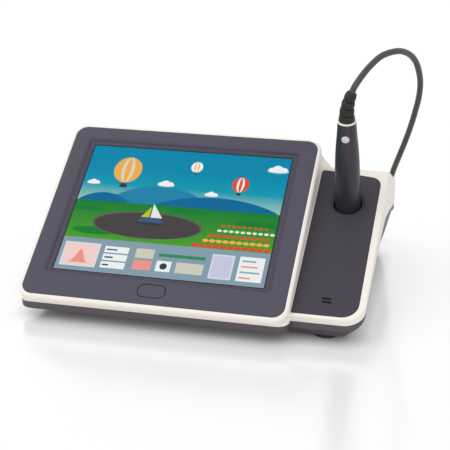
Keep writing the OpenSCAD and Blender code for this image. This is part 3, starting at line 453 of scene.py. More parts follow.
# places of the main forms, as in the part's source
case = {
    "left": -135.5, "right": 135.5, "front": -109.5, "rear": 109.5, "gap": 0.3, "wall": 2.5,
    "foot": -93.6128, "knee": (-68.985, 26.963), "arch": [(10.07, 56.5), (42.05, 59.5), (109.5, 49.5)],
    "cornerR": 10, "noseR": 16, "rearR": 14, "edge": 2.5, "rimEdge": 3.2, "kneeFrom": -84, "sideFrom": -86,
}
display = {
    "width": 216, "tilt": 34, "height": 22.9, "panelL": 172.8, "rim": 3, "thick": 8.5, "cornerR": 12.5,
    "set": 7, "sideGap": 3.15, "panelGap": 0.15, "panelR": 9.35,
}
wing = {
    "tilt": 29.3, "x": 80.5, "height": 22.3, "setback": 14, "width": 50, "length": 149.8, "slant": 5.5,
    "nose": 3, "noseT": 6.5, "rim": 5, "panelT": 2.5, "frontR": 13, "rearR": 9,
}
cradle = {"side": 26.3, "up": 115, "bore": 22.9, "dish": 27, "lean": 17}

displayX = case["left"] + display["width"] / 2
panelY = case["front"] + display["rim"] * (1 - math.sin(math.radians(display["tilt"])))
displayPlace = atPlace(displayX, panelY, display["height"]) @ rotX(display["tilt"])
wingPlace = atPlace(wing["x"], panelY + wing["setback"], wing["height"]) @ rotX(wing["tilt"])


def yz(place, up, out):
    p = place @ Vector((0, up, out))
    return (p.y, p.z)


probeAt = Vector((wing["x"] + cradle["side"],) + yz(wingPlace, cradle["up"], 0))
probePlace = Matrix.Translation(probeAt) @ rotX(cradle["lean"])
footZ = yz(wingPlace, -wing["nose"], -wing["noseT"])[1]


def beforeKnee(y):
    (ky, kz), fy = case["knee"], case["foot"]
    return (y, kz - (ky - y) * (kz - footZ) / (ky - fy))


frontY = yz(displayPlace, -display["rim"], -display["thick"])[0] + case["gap"]
frontZ = display["height"] + (frontY - panelY) * math.tan(math.radians(display["tilt"]))
frontZ -= display["thick"] / math.cos(math.radians(display["tilt"]))
archLine = [(frontY, frontZ), beforeKnee(case["foot"] - 2)]
archLine += flatSpline([beforeKnee(case["kneeFrom"]), case["knee"]] + case["arch"], 5)


def lookup(y, table):
    for a, b in zip(table, table[1:]):
        if y <= b[0]:
            return a[1] + max(0, (y - a[0]) / (b[0] - a[0])) * (b[1] - a[1])
    return table[-1][1]


def linear(c):
    # a colour as the eye reads it, in the renderer's own terms
    return tuple((v / 12.92 if v <= 0.04045 else ((v + 0.055) / 1.055) ** 2.4) for v in c) + (1.0,)


def noiseAt(tree, vector, scale, detail):
    inputs = {"Vector": vector, "Scale": scale, "Detail": detail}
    return addNode(tree, "ShaderNodeTexNoise", inputs).outputs["Fac"]


def newMaterial(name):
    material = bpy.data.materials.new(name)
    material.use_nodes = True
    return material, material.node_tree, material.node_tree.nodes["Principled BSDF"]


def makeGrainGroup():
    # moulded grain: a fine texture in the height, with slow changes of tone and gloss
    group, given, out = newGroup(
        "mouldedGrain", "ShaderNodeTree",
        [("Colour", "Color"), ("Roughness", "Float"), ("Grain Scale", "Float"), ("Tone Change", "Float"),
         ("Gloss Change", "Float"), ("Stretch", "Vector")],
        [("Colour", "Color"), ("Roughness", "Float"), ("Height", "Float")],
    )
    g = given.outputs
    place = group.nodes.new("ShaderNodeTexCoord").outputs["Object"]
    drawn = addNode(group, "ShaderNodeVectorMath", {0: place, 1: g["Stretch"]}, operation="MULTIPLY")
    grain = noiseAt(group, drawn, g["Grain Scale"], 3)
    slow = calc(group, "SUBTRACT", noiseAt(group, place, 22, 4), 0.5)
    mixed = calc(group, "MULTIPLY_ADD", calc(group, "SUBTRACT", grain, 0.5), 0.6, slow)
    tone = calc(group, "MULTIPLY_ADD", mixed, g["Tone Change"], 1.0)
    scaled = addNode(group, "ShaderNodeVectorMath", {0: g["Colour"], "Scale": tone}, operation="SCALE")
    gloss = calc(group, "MULTIPLY_ADD", mixed, g["Gloss Change"], g["Roughness"])
    feed(group, out, {"Colour": scaled, "Roughness": gloss, "Height": grain})
    return group


def makeStripeGroup():
    # even stripes across the piece, for ribbon cable and for the lines on a circuit board
    group, given, out = newGroup(
        "fineStripes", "ShaderNodeTree",
        [("First", "Color"), ("Second", "Color"), ("Pitch", "Float"), ("Direction", "Vector"),
         ("Line Share", "Float")],
        [("Colour", "Color"), ("Height", "Float")],
    )
    g = given.outputs
    place = group.nodes.new("ShaderNodeTexCoord").outputs["Object"]
    along = addNode(group, "ShaderNodeVectorMath", {0: place, 1: g["Direction"]}, operation="DOT_PRODUCT")
    wave = calc(group, "PINGPONG", calc(group, "DIVIDE", along.outputs["Value"], g["Pitch"]), 0.5)
    past = calc(group, "SUBTRACT", wave, calc(group, "MULTIPLY", g["Line Share"], 0.5))
    mask = calc(group, "MAXIMUM", calc(group, "MINIMUM", calc(group, "MULTIPLY", past, 12.0), 1.0), 0.0)
    blend = addNode(group, "ShaderNodeMix", data_type="RGBA")
    feed(group, blend, {"Factor": mask, 6: g["First"], 7: g["Second"]})
    feed(group, out, {"Colour": blend.outputs[2], "Height": mask})
    return group


grainGroup, stripeGroup = makeGrainGroup(), makeStripeGroup()


def makeFinish(name, colour, roughness, grainScale, grainDepth, toneChange, glossChange=0.08,
               metallic=0.0, coat=0.0, specular=0.5, stretch=(1, 1, 1), stripes=None):
    material, tree, shader = newMaterial(name)
    tone = linear(colour)
    if stripes:
        second, pitch, direction, share = stripes
        lines = {"First": tone, "Second": linear(second), "Pitch": pitch, "Direction": direction,
                 "Line Share": share}
        tone = addNode(tree, "ShaderNodeGroup", lines, node_tree=stripeGroup)
    values = {"Colour": tone, "Roughness": roughness, "Grain Scale": grainScale, "Tone Change": toneChange,
              "Gloss Change": glossChange, "Stretch": stretch}
    grain = addNode(tree, "ShaderNodeGroup", values, node_tree=grainGroup)
    height = {"Strength": grainDepth, "Distance": 0.0002, "Height": grain.outputs["Height"]}
    bump = addNode(tree, "ShaderNodeBump", height)
    feed(tree, shader, {
        "Base Color": grain, "Roughness": grain.outputs["Roughness"], "Normal": bump,
        "Metallic": metallic, "Coat Weight": coat, "Coat Roughness": 0.2, "Specular IOR Level": specular,
    })
    return material


finishRows = {
    # colour, roughness, grain scale, grain depth, tone change, and what differs from the usual
    "whiteCase": ((0.970, 0.950, 0.915), 0.45, 1400, 0.05, 0.02, {"specular": 0.4}),
    "slatePanel": ((0.318, 0.308, 0.368), 0.55, 1600, 0.14, 0.07, {"specular": 0.22}),
    "darkSlate": ((0.262, 0.248, 0.290), 0.58, 1600, 0.14, 0.07, {"specular": 0.22}),
    "baseShell": ((0.320, 0.298, 0.322), 0.45, 1500, 0.14, 0.07, {"specular": 0.45}),
    "blackPlastic": ((0.172, 0.160, 0.190), 0.30, 1900, 0.12, 0.06, {"specular": 0.5}),
    "bootRubber": ((0.150, 0.142, 0.138), 0.50, 2200, 0.16, 0.08, {"specular": 0.35}),
    "footRubber": ((0.15, 0.15, 0.15), 0.75, 1500, 0.30, 0.10, {}),
    "cordSheath": ((0.235, 0.215, 0.198), 0.30, 2600, 0.10, 0.08, {"specular": 0.6}),
    "lightButton": ((0.860, 0.845, 0.860), 0.40, 1800, 0.06, 0.02, {}),
    "steel": ((0.70, 0.70, 0.71), 0.32, 1400, 0.12, 0.06, {"metallic": 1.0, "stretch": (0.06, 1, 1)}),
    "board": ((0.08, 0.33, 0.20), 0.35, 700, 0.10, 0.15,
              {"coat": 0.3, "stripes": ((0.12, 0.42, 0.25), 0.0025, (0.7, 0.7, 0.2), 0.25)}),
    "ribbonCable": ((0.70, 0.70, 0.68), 0.45, 900, 0.05, 0.04,
                    {"stripes": ((0.86, 0.86, 0.83), 0.00127, (1, 0, 0), 0.35)}),
    "chip": ((0.12, 0.12, 0.13), 0.55, 1500, 0.14, 0.08, {}),
    "clearPlastic": ((0.84, 0.86, 0.87), 0.35, 900, 0.04, 0.04, {}),
    "glassBorder": ((0.365, 0.350, 0.410), 0.45, 1600, 0.02, 0.04, {"specular": 0.2}),
    "screenEdge": ((0.10, 0.10, 0.12), 0.50, 1600, 0.02, 0.03, {"specular": 0.2}),
}
finish = {name: makeFinish(name, *row[:-1], **row[-1]) for name, row in finishRows.items()}

slotFinish = {
    "white_case": "whiteCase", "slate_panel": "slatePanel", "dark_slate": "darkSlate",
    "black_plastic": "blackPlastic", "black_rubber": "footRubber", "cord_rubber": "cordSheath",
    "light_button": "lightButton", "screen_glass": "clearPlastic", "screen": "chip", "steel": "steel",
    "board": "board", "chip": "chip", "clear_plastic": "clearPlastic",
}
nodeFinish = {"flat_cable": "ribbonCable"}
for part in frame["record"]["subparts"]:
    name = nodeFinish.get(part["node"], slotFinish[part["material_slot"]])
    coat(frame["nodes"][part["node"]], finish[name])
print("finishes made")


def makeDisplayRim(s):
    w, l, t, r = s["width"], s["panelL"] + 2 * s["rim"], s["thick"], s["cornerR"]
    loop = cornerLoop(-w / 2, -s["rim"], w / 2, l - s["rim"], [r] * 4, 16)
    profile = [(-9, -1.65), (-3, -1.65), (-3, -0.35)] + arcPoints(-2.65, -0.35, 0.35, 180, 90, 3)[1:]
    profile += arcPoints(-2.6, -2.6, 2.6, 90, 0, 8)[1:]
    profile += [(0, -t + 0.9)] + arcPoints(-0.9, -t + 0.9, 0.9, 0, -90, 4)[1:] + [(-9, -t)]
    return settle(sweepLoop("displayRim", loop, profile), displayPlace, 40)


window = {"w": 181.0, "low": 22.9, "l": 136.6, "r": 2.5, "lip": 2.4}
windowUp = window["low"] + window["l"] / 2
key = {"w": 21.8, "h": 11.4, "r": 4.8, "up": 12.6, "seam": 0.45}


def keyLoop(grow):
    return framed(key["w"], key["h"], key["up"], grow, key["r"] + grow, 10)


def windowLoop(grow):
    return framed(window["w"], window["l"], windowUp, grow, window["r"] + grow, 6)


def makeFrontPanel():
    half, gap, lip = display["width"] / 2 - display["sideGap"], display["panelGap"], window["lip"]
    outline = cornerLoop(-half, gap, half, display["panelL"] - gap, [display["panelR"]] * 4, 14)
    panel = plate("frontPanel", outline, [windowLoop(lip), keyLoop(key["seam"])], 0, 1.6, 0.25)
    slope = [
        (lip + 0.6, -0.2), (lip + 0.1, -0.02), (lip - 0.5, -0.08), (lip - 1.0, -0.34),
        (0.5, -1.12), (0.12, -1.4), (0, -1.58), (lip + 0.6, -1.58),
    ]
    slopes = sweepLoop("windowLip", windowLoop(0), slope)
    return settle(joined("frontPanel", [panel, slopes]), displayPlace, 50)


def makeStartKey():
    face = plate("keyFace", keyLoop(-0.15), [], -0.05, 1.5, 0.4)
    stem = turned("keyStem", [(0, -6), (2.6, -6), (3, -5.6), (3, -1.5), (0, -1.5)], 32)
    bar = plate("keyBar", framed(key["w"] + 4, 6, 0, 0, 1), [], -1.7, 1.4, 0.2)
    for piece in (stem, bar):
        piece.data.transform(atPlace(0, key["up"], 0))
    return settle(joined("startKey", [face, stem, bar]), displayPlace, 40)


dress(makeDisplayRim(display), "case", "white_case", finish["whiteCase"], "display_frame")
dress(makeFrontPanel(), "case", "slate_panel", finish["slatePanel"], "bezel_panel")
dress(makeStartKey(), "start_button", "slate_panel", finish["slatePanel"], "start_button")
print("display unit made")

screen = {"w": 170.4, "h": 127.8, "up": 90.3, "depth": -2.1, "step": 0.03, "glow": 1.08}
paint = {
    "skyTop": (0, 142, 182), "skyMid": (14, 160, 186), "skyLow": (160, 208, 190), "farHill": (34, 136, 176),
    "nearHill": (8, 108, 160), "meadow": (78, 164, 44), "meadowDark": (24, 130, 52), "pond": (74, 70, 70),
    "pondEdge": (98, 94, 88), "red": (226, 78, 48), "cream": (232, 222, 190), "white": (238, 242, 240),
    "orange": (248, 182, 84), "strip": (139, 165, 180), "boxRim": (214, 224, 228), "pink": (236, 150, 138),
    "rose": (240, 208, 202), "beige": (206, 205, 188), "green": (54, 138, 96), "ink": (52, 60, 68),
    "cloudShade": (176, 204, 212), "blue": (66, 92, 138), "lime": (190, 205, 60), "mauve": (200, 200, 224),
}


def ellipse(cx, cy, rx, ry, steps=28):
    turns = [math.radians(360 * k / steps) for k in range(steps)]
    return [(cx + rx * math.cos(a), cy + ry * math.sin(a)) for a in turns]


def box(x, y, w, h):
    return [(x, y), (x + w, y), (x + w, y + h), (x, y + h)]


def hill(x0, x1, foot, peak, power=1.0, steps=24):
    points = [(x1, foot - 8), (x0, foot - 8)]
    for k in range(steps + 1):
        rise = math.sin(math.pi * k / steps) ** power
        points.append((x0 + (x1 - x0) * k / steps, foot + (peak - foot) * rise))
    return points


def landscape(w, h):
    # balloons over hills, a pond with a boat, and tulip beds; each shape is its points and its
    # colour, or one colour for each point
    shapes = [(box(-w, -h, 2 * w, 2 * h), "strip")]
    levels, colours = [h, 42, 24, 6], ["skyTop", "skyTop", "skyMid", "skyLow"]
    for a, b, ca, cb in zip(levels, levels[1:], colours, colours[1:]):
        shapes.append((box(-w, b, 2 * w, a - b), (cb, cb, ca, ca)))
    shapes += [
        (hill(-62, 30, 6, 26, 0.8), "farHill"), (hill(-20, w, 5, 18, 0.7), "nearHill"),
        (hill(-w, -40, 5, 15, 0.7), "nearHill"),
        (box(-w, -32, 2 * w, 38), ("meadow", "meadow", "meadowDark", "meadowDark")),
    ]
    for x, y, r in [(-74, -2, 9), (-60, -24, 13), (70, -6, 12), (10, 2, 10)]:
        shapes.append((ellipse(x, y, r * 1.6, r * 0.3), "meadowDark"))
    shapes += [
        (ellipse(-20, -15, 46, 13.5, 44), "pondEdge"), (ellipse(-20, -15.3, 44, 12.4, 44), "pond"),
        (ellipse(-18, -12.5, 13, 2.2, 24), "ink"),
        ([(-29, -12), (-7, -12), (-10.5, -7.6), (-26, -7.6)], "blue"),
        ([(-19, -7), (-19, 7), (-9, -7)], "white"), ([(-20, -7), (-20, 4), (-27, -7)], "lime"),
    ]
    for row, colour in enumerate(("red", "white", "red", "orange", "red")):
        size = 1.3 + 0.28 * row
        for k in range(9 + row):
            x = 42 + (k - row * 0.8) * (4.4 + 0.35 * row) + (2 if row % 2 else 0)
            if x < 84:
                shapes.append((ellipse(x, -9 - 5.2 * row, size * 1.2, size * 0.8, 10), colour))
    balloons = [(-50, 40, 12, "orange", "cream"), (48, 33, 7, "red", "white"), (8, 48, 5, "white", "orange")]
    for x, y, r, main, second in balloons:
        for wide, high, steps, colour in [(1, 1.12, 36, main), (0.45, 1.1, 30, second), (0.18, 1.08, 24, main)]:
            shapes.append((ellipse(x, y, r * wide, r * high, steps), colour))
        basket = [(-0.28, -1.55), (0.28, -1.55), (0.22, -1.2), (-0.22, -1.2)]
        shapes.append(([(x + r * dx, y + r * dy) for dx, dy in basket], "ink"))
    for x, y, s in [(-14, 27, 5), (76, 50, 6), (26, 20, 4), (-76, 24, 4)]:
        shapes.append((ellipse(x, y, s * 1.5, s * 0.42, 24), "cloudShade"))
        for dx, dy, k in [(-0.85, 0.16, 0.5), (-0.1, 0.42, 0.68), (0.75, 0.22, 0.55)]:
            shapes.append((ellipse(x + dx * s, y + dy * s, s * k, s * k * 0.8, 20), "white"))
        shapes.append((ellipse(x, y + 0.1 * s, s * 1.4, s * 0.34, 24), "white"))
    return shapes


def gauges():
    # plain boxes and bars without any lettering, below the landscape
    shapes = [(box(-82, -60, 30, 23), "boxRim"), (box(-80.8, -58.8, 27.6, 20.6), "rose")]
    curve = [(-79 + 24 * k / 20, -56.5 + 13 * math.exp(-(((k - 10) / 3.4) ** 2))) for k in range(21)]
    shapes.append((curve + [(-55, -56.5)], "pink"))
    for k in range(3):
        shapes.append((box(-48, -44.5 - 7.4 * k, 20, 6), "white"))
        shapes.append((box(-46.5, -42.3 - 7.4 * k, 9 - 2 * k, 1.4), "ink" if k else "blue"))
    shapes += [
        (box(-22, -47, 15, 9), "beige"), (box(-22, -58, 15, 9), "pink"), (box(-3, -44, 38, 3), "green"),
        (box(-3, -58, 12, 10), "white"), (ellipse(3, -53, 3, 3, 20), "ink"), (box(13, -58, 22, 10), "beige"),
        (box(40, -60, 18, 23), "boxRim"), (box(41.2, -58.8, 15.6, 20.6), "mauve"),
        (box(62, -60, 20, 23), "white"),
    ]
    for k in range(4):
        shapes.append((box(64, -57.5 + 5.2 * k, 9 + 2.2 * ((k * 7) % 4), 1.5), "strip" if k % 2 else "pink"))
    return shapes


def makePicture(s):
    bm = bmesh.new()
    layer = bm.loops.layers.float_color.new("picture")
    w, h = s["w"] / 2, s["h"] / 2
    for k, (points, colour) in enumerate(landscape(w, h) + gauges()):
        depth = s["depth"] + s["step"] * k / 12
        verts = [bm.verts.new((max(-w, min(w, x)), s["up"] + max(-h, min(h, y)), depth)) for x, y in points]
        names = [colour] * len(points) if isinstance(colour, str) else colour
        for corner, name in zip(bm.faces.new(verts).loops, names):
            corner[layer] = linear([v / 255 for v in paint[name]])
    bmesh.ops.triangulate(bm, faces=bm.faces)
    for face in bm.faces:
        if face.normal.z < 0:
            face.normal_flip()
    mesh = bpy.data.meshes.new("screenPicture")
    bm.to_mesh(mesh)
    bm.free()
    return settle(addObject("screenPicture", mesh), displayPlace, 30)


def makePictureFinish(glow):
    # lit from behind, so that its colours don't depend on the room
    material, tree, shader = newMaterial("litPicture")
    colour = addNode(tree, "ShaderNodeVertexColor", layer_name="picture")
    feed(tree, shader, {
        "Base Color": (0.004, 0.004, 0.005, 1), "Roughness": 0.6, "Specular IOR Level": 0.0,
        "Emission Strength": glow, "Emission Color": colour,
    })
    return material


def makeGlassFinish():
    # dark tinted glass over the picture, with faint smears in its gloss
    material, tree, shader = newMaterial("touchGlass")
    place = tree.nodes.new("ShaderNodeTexCoord").outputs["Object"]
    smear = calc(tree, "MULTIPLY_ADD", noiseAt(tree, place, 30, 4), 0.10, 0.06)
    tint = {"Base Color": (0.01, 0.012, 0.016, 1), "Alpha": 0.10, "Specular IOR Level": 0.14}
    feed(tree, shader, {**tint, "Roughness": smear})
    return material


def makeScreenPieces(s):
    w, h, up = s["w"], s["h"], s["up"]
    pane = framed(window["w"], window["l"], windowUp, 3, 2)
    glass = plate("touchGlass", pane, [], -1.62, 0.3, 0.05)
    dress(settle(glass, displayPlace), "case", "screen_glass", makeGlassFinish(), "touch_glass")
    border = plate("glassBorder", pane, [framed(w, h, up, 0.9, 0.6, 3)], -1.93, 0.14, 0.02)
    dress(settle(border, displayPlace), "case", "slate_panel", finish["glassBorder"])
    edge = plate("screenEdge", framed(w, h, up, 3, 1, 3), [], s["depth"] - 0.02, 0.2, 0.02)
    dress(settle(edge, displayPlace), "case", "screen", finish["screenEdge"])
    dress(makePicture(s), "case", "screen", makePictureFinish(s["glow"]))
    module = plate("screenModule", framed(w + 12, h + 9, up + 0.5, 0, 1.5), [], -2.4, 7.3, 0.4)
    dress(settle(module, displayPlace), "case", "screen", finish["steel"], "lcd_panel")


makeScreenPieces(screen)
print("screen made")


def wingLoop(grow, steps=12):
    # outline of the wing's panel; its far edge falls away to the right
    left, right, far = -min(grow, 0), wing["width"] + grow, wing["length"] + grow
    turn = math.atan(wing["slant"] / wing["width"])
    deg = math.degrees(turn)
    rf, rr, rl = wing["frontR"] + grow, wing["rearR"] + grow, 3 + grow
    loop = [(left, -grow)] + arcPoints(right - rf, -grow + rf, rf, -90, 0, steps)
    for x, r, a0, a1, count in ((right - rr, rr, 0, 90 - deg, steps), (left + rl, rl, 90 - deg, 180, 4)):
        loop += arcPoints(x, far - (r + x * math.sin(turn)) / math.cos(turn), r, a0, a1, count)
    return loop


slopeMain = [(109.5, 66), (99.5, 76.64), (76.0, 88.1), (53.2, 99.2)]
slopeWing = [(109.5, 66), (101.5, 72), (87.5, 76.5)]


def inward(points, amount):
    return [(min(y, case["rear"] - amount), z - amount * 1.2) for y, z in points]


def upright(x0, y0, x1, y1, radii, steps=12):
    # a block with rounded corners that is taller than the case
    return column("block", cornerLoop(x0, y0, x1, y1, radii, steps), -10, 200)


def makeHousing():
    # the white shell behind the display, open at the front and below
    gap, wall, r, rear = case["gap"], case["wall"], case["cornerR"], case["rear"]
    left, right = case["left"] + gap, wing["x"] - gap
    top = display["panelL"] - display["set"]
    back = yz(displayPlace, top, -display["thick"])
    outer = prism("displayHousing", archLine + flatSpline(slopeMain + [back], 7), left, right)
    outer = combine(outer, upright(left, frontY, right, rear, [r, r, 0, r]), "INTERSECT")
    softened(outer, case["edge"], 4, 40)
    top -= 1.28 * wall
    within = [(frontY + wall, 0), (rear - wall, 0)] + inward(slopeMain, wall)
    within += [yz(displayPlace, top, -display["thick"]), yz(displayPlace, top, 0.1), (frontY + wall, 40)]
    inner = prism("inner", within, left + wall, right - wall)
    r -= wall
    plan = upright(left + wall, frontY + wall, right - wall, rear - wall, [r, r, 0, r])
    return combine(outer, combine(inner, plan, "INTERSECT"))


def makeWingBody():
    # the white shell of the wing, its rim rounded over and its front square to the slope
    wall, right, rear = case["wall"], case["right"], case["rear"]
    ahead = wing["nose"] + wing["noseT"]
    side = [beforeKnee(case["foot"] - ahead)] + [p for p in archLine if p[0] > case["sideFrom"]]
    side += flatSpline(slopeWing + [yz(wingPlace, wing["length"] + wing["nose"], 0)], 7)
    body = prism("wingHousing", side + [yz(wingPlace, -ahead, 0)], wing["x"] - 20, right)
    outline = cornerLoop(-60, -wing["nose"], wing["width"] + wing["rim"], 400, [0, case["noseR"], 0, 0], 16)
    ends = column("ends", outline, -300, 300)
    ends.data.transform(wingPlace)
    body = combine(body, ends, "INTERSECT")
    plan = upright(wing["x"] - 40, -200, right, rear, [0, 0, case["rearR"], 0], 16)
    body = combine(body, plan, "INTERSECT")
    softened(body, case["rimEdge"], 5, 30)
    under = -wing["panelT"] - 1.5
    within = [(case["foot"] + wall, 0), (rear - wall, 0)] + inward(slopeWing, wall)
    within += [yz(wingPlace, wing["length"] - 1, under), yz(wingPlace, 1, under)]
    inner = prism("inner", within, wing["x"] + 0.5, right - wall)
    radii = [0, case["noseR"] - wall, case["rearR"] - wall, 0]
    plan = upright(wing["x"] - 40, case["foot"] + wall, right - wall, rear - wall, radii)
    body = combine(body, combine(inner, plan, "INTERSECT"))
    # the display's own rear wall stands here, so the wing's wall ends beside it
    beside = wing["x"] - case["gap"] + 0.02
    body = combine(body, upright(0, rear - 2 * wall, beside, rear + 10, [0] * 4))
    for grow, low in ((0.15, -wing["panelT"] - 0.02), (-3, -10)):
        seat = column("seat", wingLoop(grow), low, 20)
        seat.data.transform(wingPlace)
        body = combine(body, seat)
    return body


def makeWingPanel():
    slots = []
    for side in (-1, 1):
        cx, cy, half, r = wing["width"] / 2 - side * 0.35, 14.7 + side * 1.65, 2.95, 0.85
        slots.append(arcPoints(cx + half, cy, r, -90, 90, 8) + arcPoints(cx - half, cy, r, 90, 270, 8))
    hole = ellipse(cradle["side"], cradle["up"], cradle["dish"] / 2, cradle["dish"] / 2, 64)
    panel = plate("panelPlate", wingLoop(-0.15), slots + [hole], 0, wing["panelT"], 0.35)
    bore = cradle["bore"] / 2
    profile = [
        (15.5, -2.4), (13.3, -2.4), (13.3, -0.6), (bore + 1.2, -0.62), (bore + 0.5, -0.78),
        (bore + 0.1, -1.3), (bore, -2.5), (15.5, -2.5), (15.5, -2.4),
    ]
    dish = turned("dish", profile, 72)
    dish.data.transform(atPlace(cradle["side"], cradle["up"], 0))
    return settle(joined("wingPanel", [panel, dish]), wingPlace, 35)


caseTop = settle(joined("caseTop", [makeHousing(), makeWingBody()]), angle=30)
dress(caseTop, "case", "white_case", finish["whiteCase"], "top_cover")
dress(makeWingPanel(), "case", "dark_slate", finish["darkSlate"], "wing_panel")
print("case made")

base = {
    "under": 3.5, "inset": 14, "wall": 2.5, "edge": 1.7, "rear": 107.5, "flatFrom": -87.6, "leastBand": 7.9,
    "halfway": {"front": 10, "nose": 4.6, "corner": 7, "height": 7.7, "from": -80},
    "bottom": [(89.5, 3.5), (107.5, 7.5)],
    "band": [(-105.6, 6.2), (-87.6, 6.2), (-69, 3), (42, 3), (89.5, 6), (107.5, 6)],
    "bosses": [(-112.5, -51.9), (-112.5, 30.0), (112.5, -40.08), (112.5, 61.98), (-70, 95.5), (88, 95.5)],
    "bossR": 4, "bossTop": 24, "recessR": 3.2, "holeR": 1.7,
    "posts": [(x, y) for x in (-30, 62) for y in (-54, 14)]
    + [(x, y) for x in (-102, -62) for y in (-26, 24)],
    "feet": [(x, y) for x in (-105.5, 105.5) for y in (-77.5, 85.5)], "footR": 9, "footTop": 5,
    "port": (-44.7, 72.7, 13.5, 38.5),
}


def baseRing(side, front, nose, back, corner, height):
    # the base's outline, drawn in by those amounts, with a height for each point by its depth
    left, right = case["left"] + case["gap"] + side, case["right"] - side
    step = wing["x"] - case["gap"] - min(side, 10)
    low, foot, rear = frontY + front, case["foot"] + nose, base["rear"] - back
    outer = (case["cornerR"], case["cornerR"], case["noseR"], case["rearR"], case["cornerR"])
    r = [max(radius - corner, 1) for radius in outer]
    loop = arcPoints(left + r[0], low + r[0], r[0], 180, 270, 10)
    loop += arcPoints(step - r[1], low + r[1], r[1], 270, 360, 10) + [(step, max(foot, low + r[1] + 0.1))]
    loop += arcPoints(right - r[2], foot + r[2], r[2], 270, 360, 12)
    y0, y1 = foot + r[2], rear - r[3]
    loop += [(right, y0 + (y1 - y0) * k / 36) for k in range(1, 36)]
    loop += arcPoints(right - r[3], y1, r[3], 0, 90, 8)
    loop += arcPoints(left + r[4], rear - r[4], r[4], 90, 180, 8)
    y0, y1 = low + r[0], rear - r[4]
    loop += [(left, y1 - (y1 - y0) * k / 36) for k in range(1, 36)]
    return [(x, y, height(y)) for x, y in loop]


def baseSkin(s):
    # outer underside, slanted sides, rounded lower edge, upright band, rim, and back down the inside
    def top(y):
        return lookup(y, archLine)

    def edge(y, more=0.0):
        return max(top(y) - lookup(y, s["band"]), s["leastBand"]) + more

    def under(y, more=0.0):
        return lookup(y, s["bottom"]) + more

    def between(y):
        return (edge(y) + under(y)) / 2 if y > mid["from"] else mid["height"]

    e, t, low, inset, mid = s["edge"], s["wall"], s["bottom"][0][1], s["inset"], s["halfway"]
    ahead, beside = s["flatFrom"] - frontY, s["flatFrom"] - case["foot"]
    rise = s["bottom"][1][0] - s["bottom"][0][0]
    rings = [
        baseRing(inset + 0.5, ahead + 0.5, beside + 0.5, rise, 12, lambda y: low),
        baseRing(inset, ahead, beside, 0, 12, under),
        baseRing(inset / 2, mid["front"], mid["nose"], 0, mid["corner"], between),
    ]
    for k in range(5):
        a = math.radians(22.5 * k)
        drawn, up = e * (1 - math.sin(a)), e * (1 - math.cos(a))
        rings.append(baseRing(drawn, drawn, drawn, 0, drawn, lambda y: edge(y, up)))
    rings += [
        baseRing(0, 0, 0, 0, 0, top), baseRing(t, t, t, t, t, top),
        baseRing(t, t, t, t, t, lambda y: min(edge(y, t), top(y) - 0.5)),
        baseRing(inset + 2, ahead + 1, beside + 3, t, 12, lambda y: under(y, t)),
        baseRing(inset + 2.5, ahead + 1.5, beside + 3.5, rise, 12, lambda y: low + t),
    ]
    return layered("baseShell", rings)


def makeBase(s):
    shell, floor, recess = baseSkin(s), s["under"] + 1, s["recessR"]
    for name, r, sides, top in [("bosses", s["bossR"], 24, s["bossTop"]), ("posts", 3, 20, 12)]:
        post = column("post", ellipse(0, 0, r, r, sides), floor, top)
        shell = combine(shell, copies(name, post, s[name]), "UNION")
    bore = [
        (0, -1), (recess + 0.4, -1), (recess + 0.4, 3.49), (recess, 3.9), (recess, 6.3),
        (s["holeR"], 6.3), (s["holeR"], 30), (0, 30),
    ]
    shell = combine(shell, copies("drills", turned("drill", bore, 32), s["bosses"]))
    r = s["footR"] + 0.05
    cup = column("cup", ellipse(0, 0, r, r, 48), -1, s["footTop"] + 0.02)
    shell = combine(shell, copies("cups", cup, s["feet"]))
    x0, x1, z0, z1 = s["port"]
    port = prism("port", [(103, z0), (120, z0), (120, z1), (103, z1)], x0, x1)
    return settle(combine(shell, port), angle=30)


def makeFeet(s):
    r, t = s["footR"] - 0.1, s["footTop"]
    profile = [
        (0, 0), (3.2, 0), (3.5, 0.35), (4.1, 0.35), (4.4, 0), (6.0, 0), (6.3, 0.35), (6.9, 0.35), (7.2, 0),
        (r - 0.6, 0), (r - 0.15, 0.2), (r, 0.65), (r, t), (0, t),
    ]
    feet = copies("rubberFeet", turned("foot", profile, 56), s["feet"], finish["footRubber"])
    return settle(feet, angle=30)


screws = {
    # head radius and height, shank radius and length, recess width; then points, place and body
    "case_screws": (
        (2.8, 2.4, 1.5, 26.1, 0.8), [(x, y, 3.9) for x, y in base["bosses"]], Matrix(), "case"),
    "bracket_screws": (
        (2.8, 1.8, 1.5, 2.4, 0.8), [(x, y, -12.7) for x in (-98.5, 98.5) for y in (27.9, 152.8)],
        displayPlace, "case"),
    "board_screws": (
        (2.3, 1.6, 1.25, 5.6, 0.6), [(x, -y, -15.2) for x, y in base["posts"]], rotX(180), "case"),
    "probe_screws": (
        (1.9, 1.4, 1.0, 11.5, 0.5), [(0, z, -7.9) for z in (-6, 34)], probePlace @ rotX(90), "probe"),
}

def makeScrews():
    for node, (sizes, points, place, body) in screws.items():
        values = {**dict(zip(screwLabels, sizes)), "Material": finish["steel"]}
        piece = settle(grown(node.replace("_s", "S"), lineMesh(points, []), screwTree, values), place)
        dress(piece, body, "steel", finish["steel"], node)


dress(makeBase(base), "case", "dark_slate", finish["baseShell"], "base_shell")
dress(makeFeet(base), "case", "black_rubber", finish["footRubber"], "rubber_feet")
makeScrews()
print("base, feet and screws made")

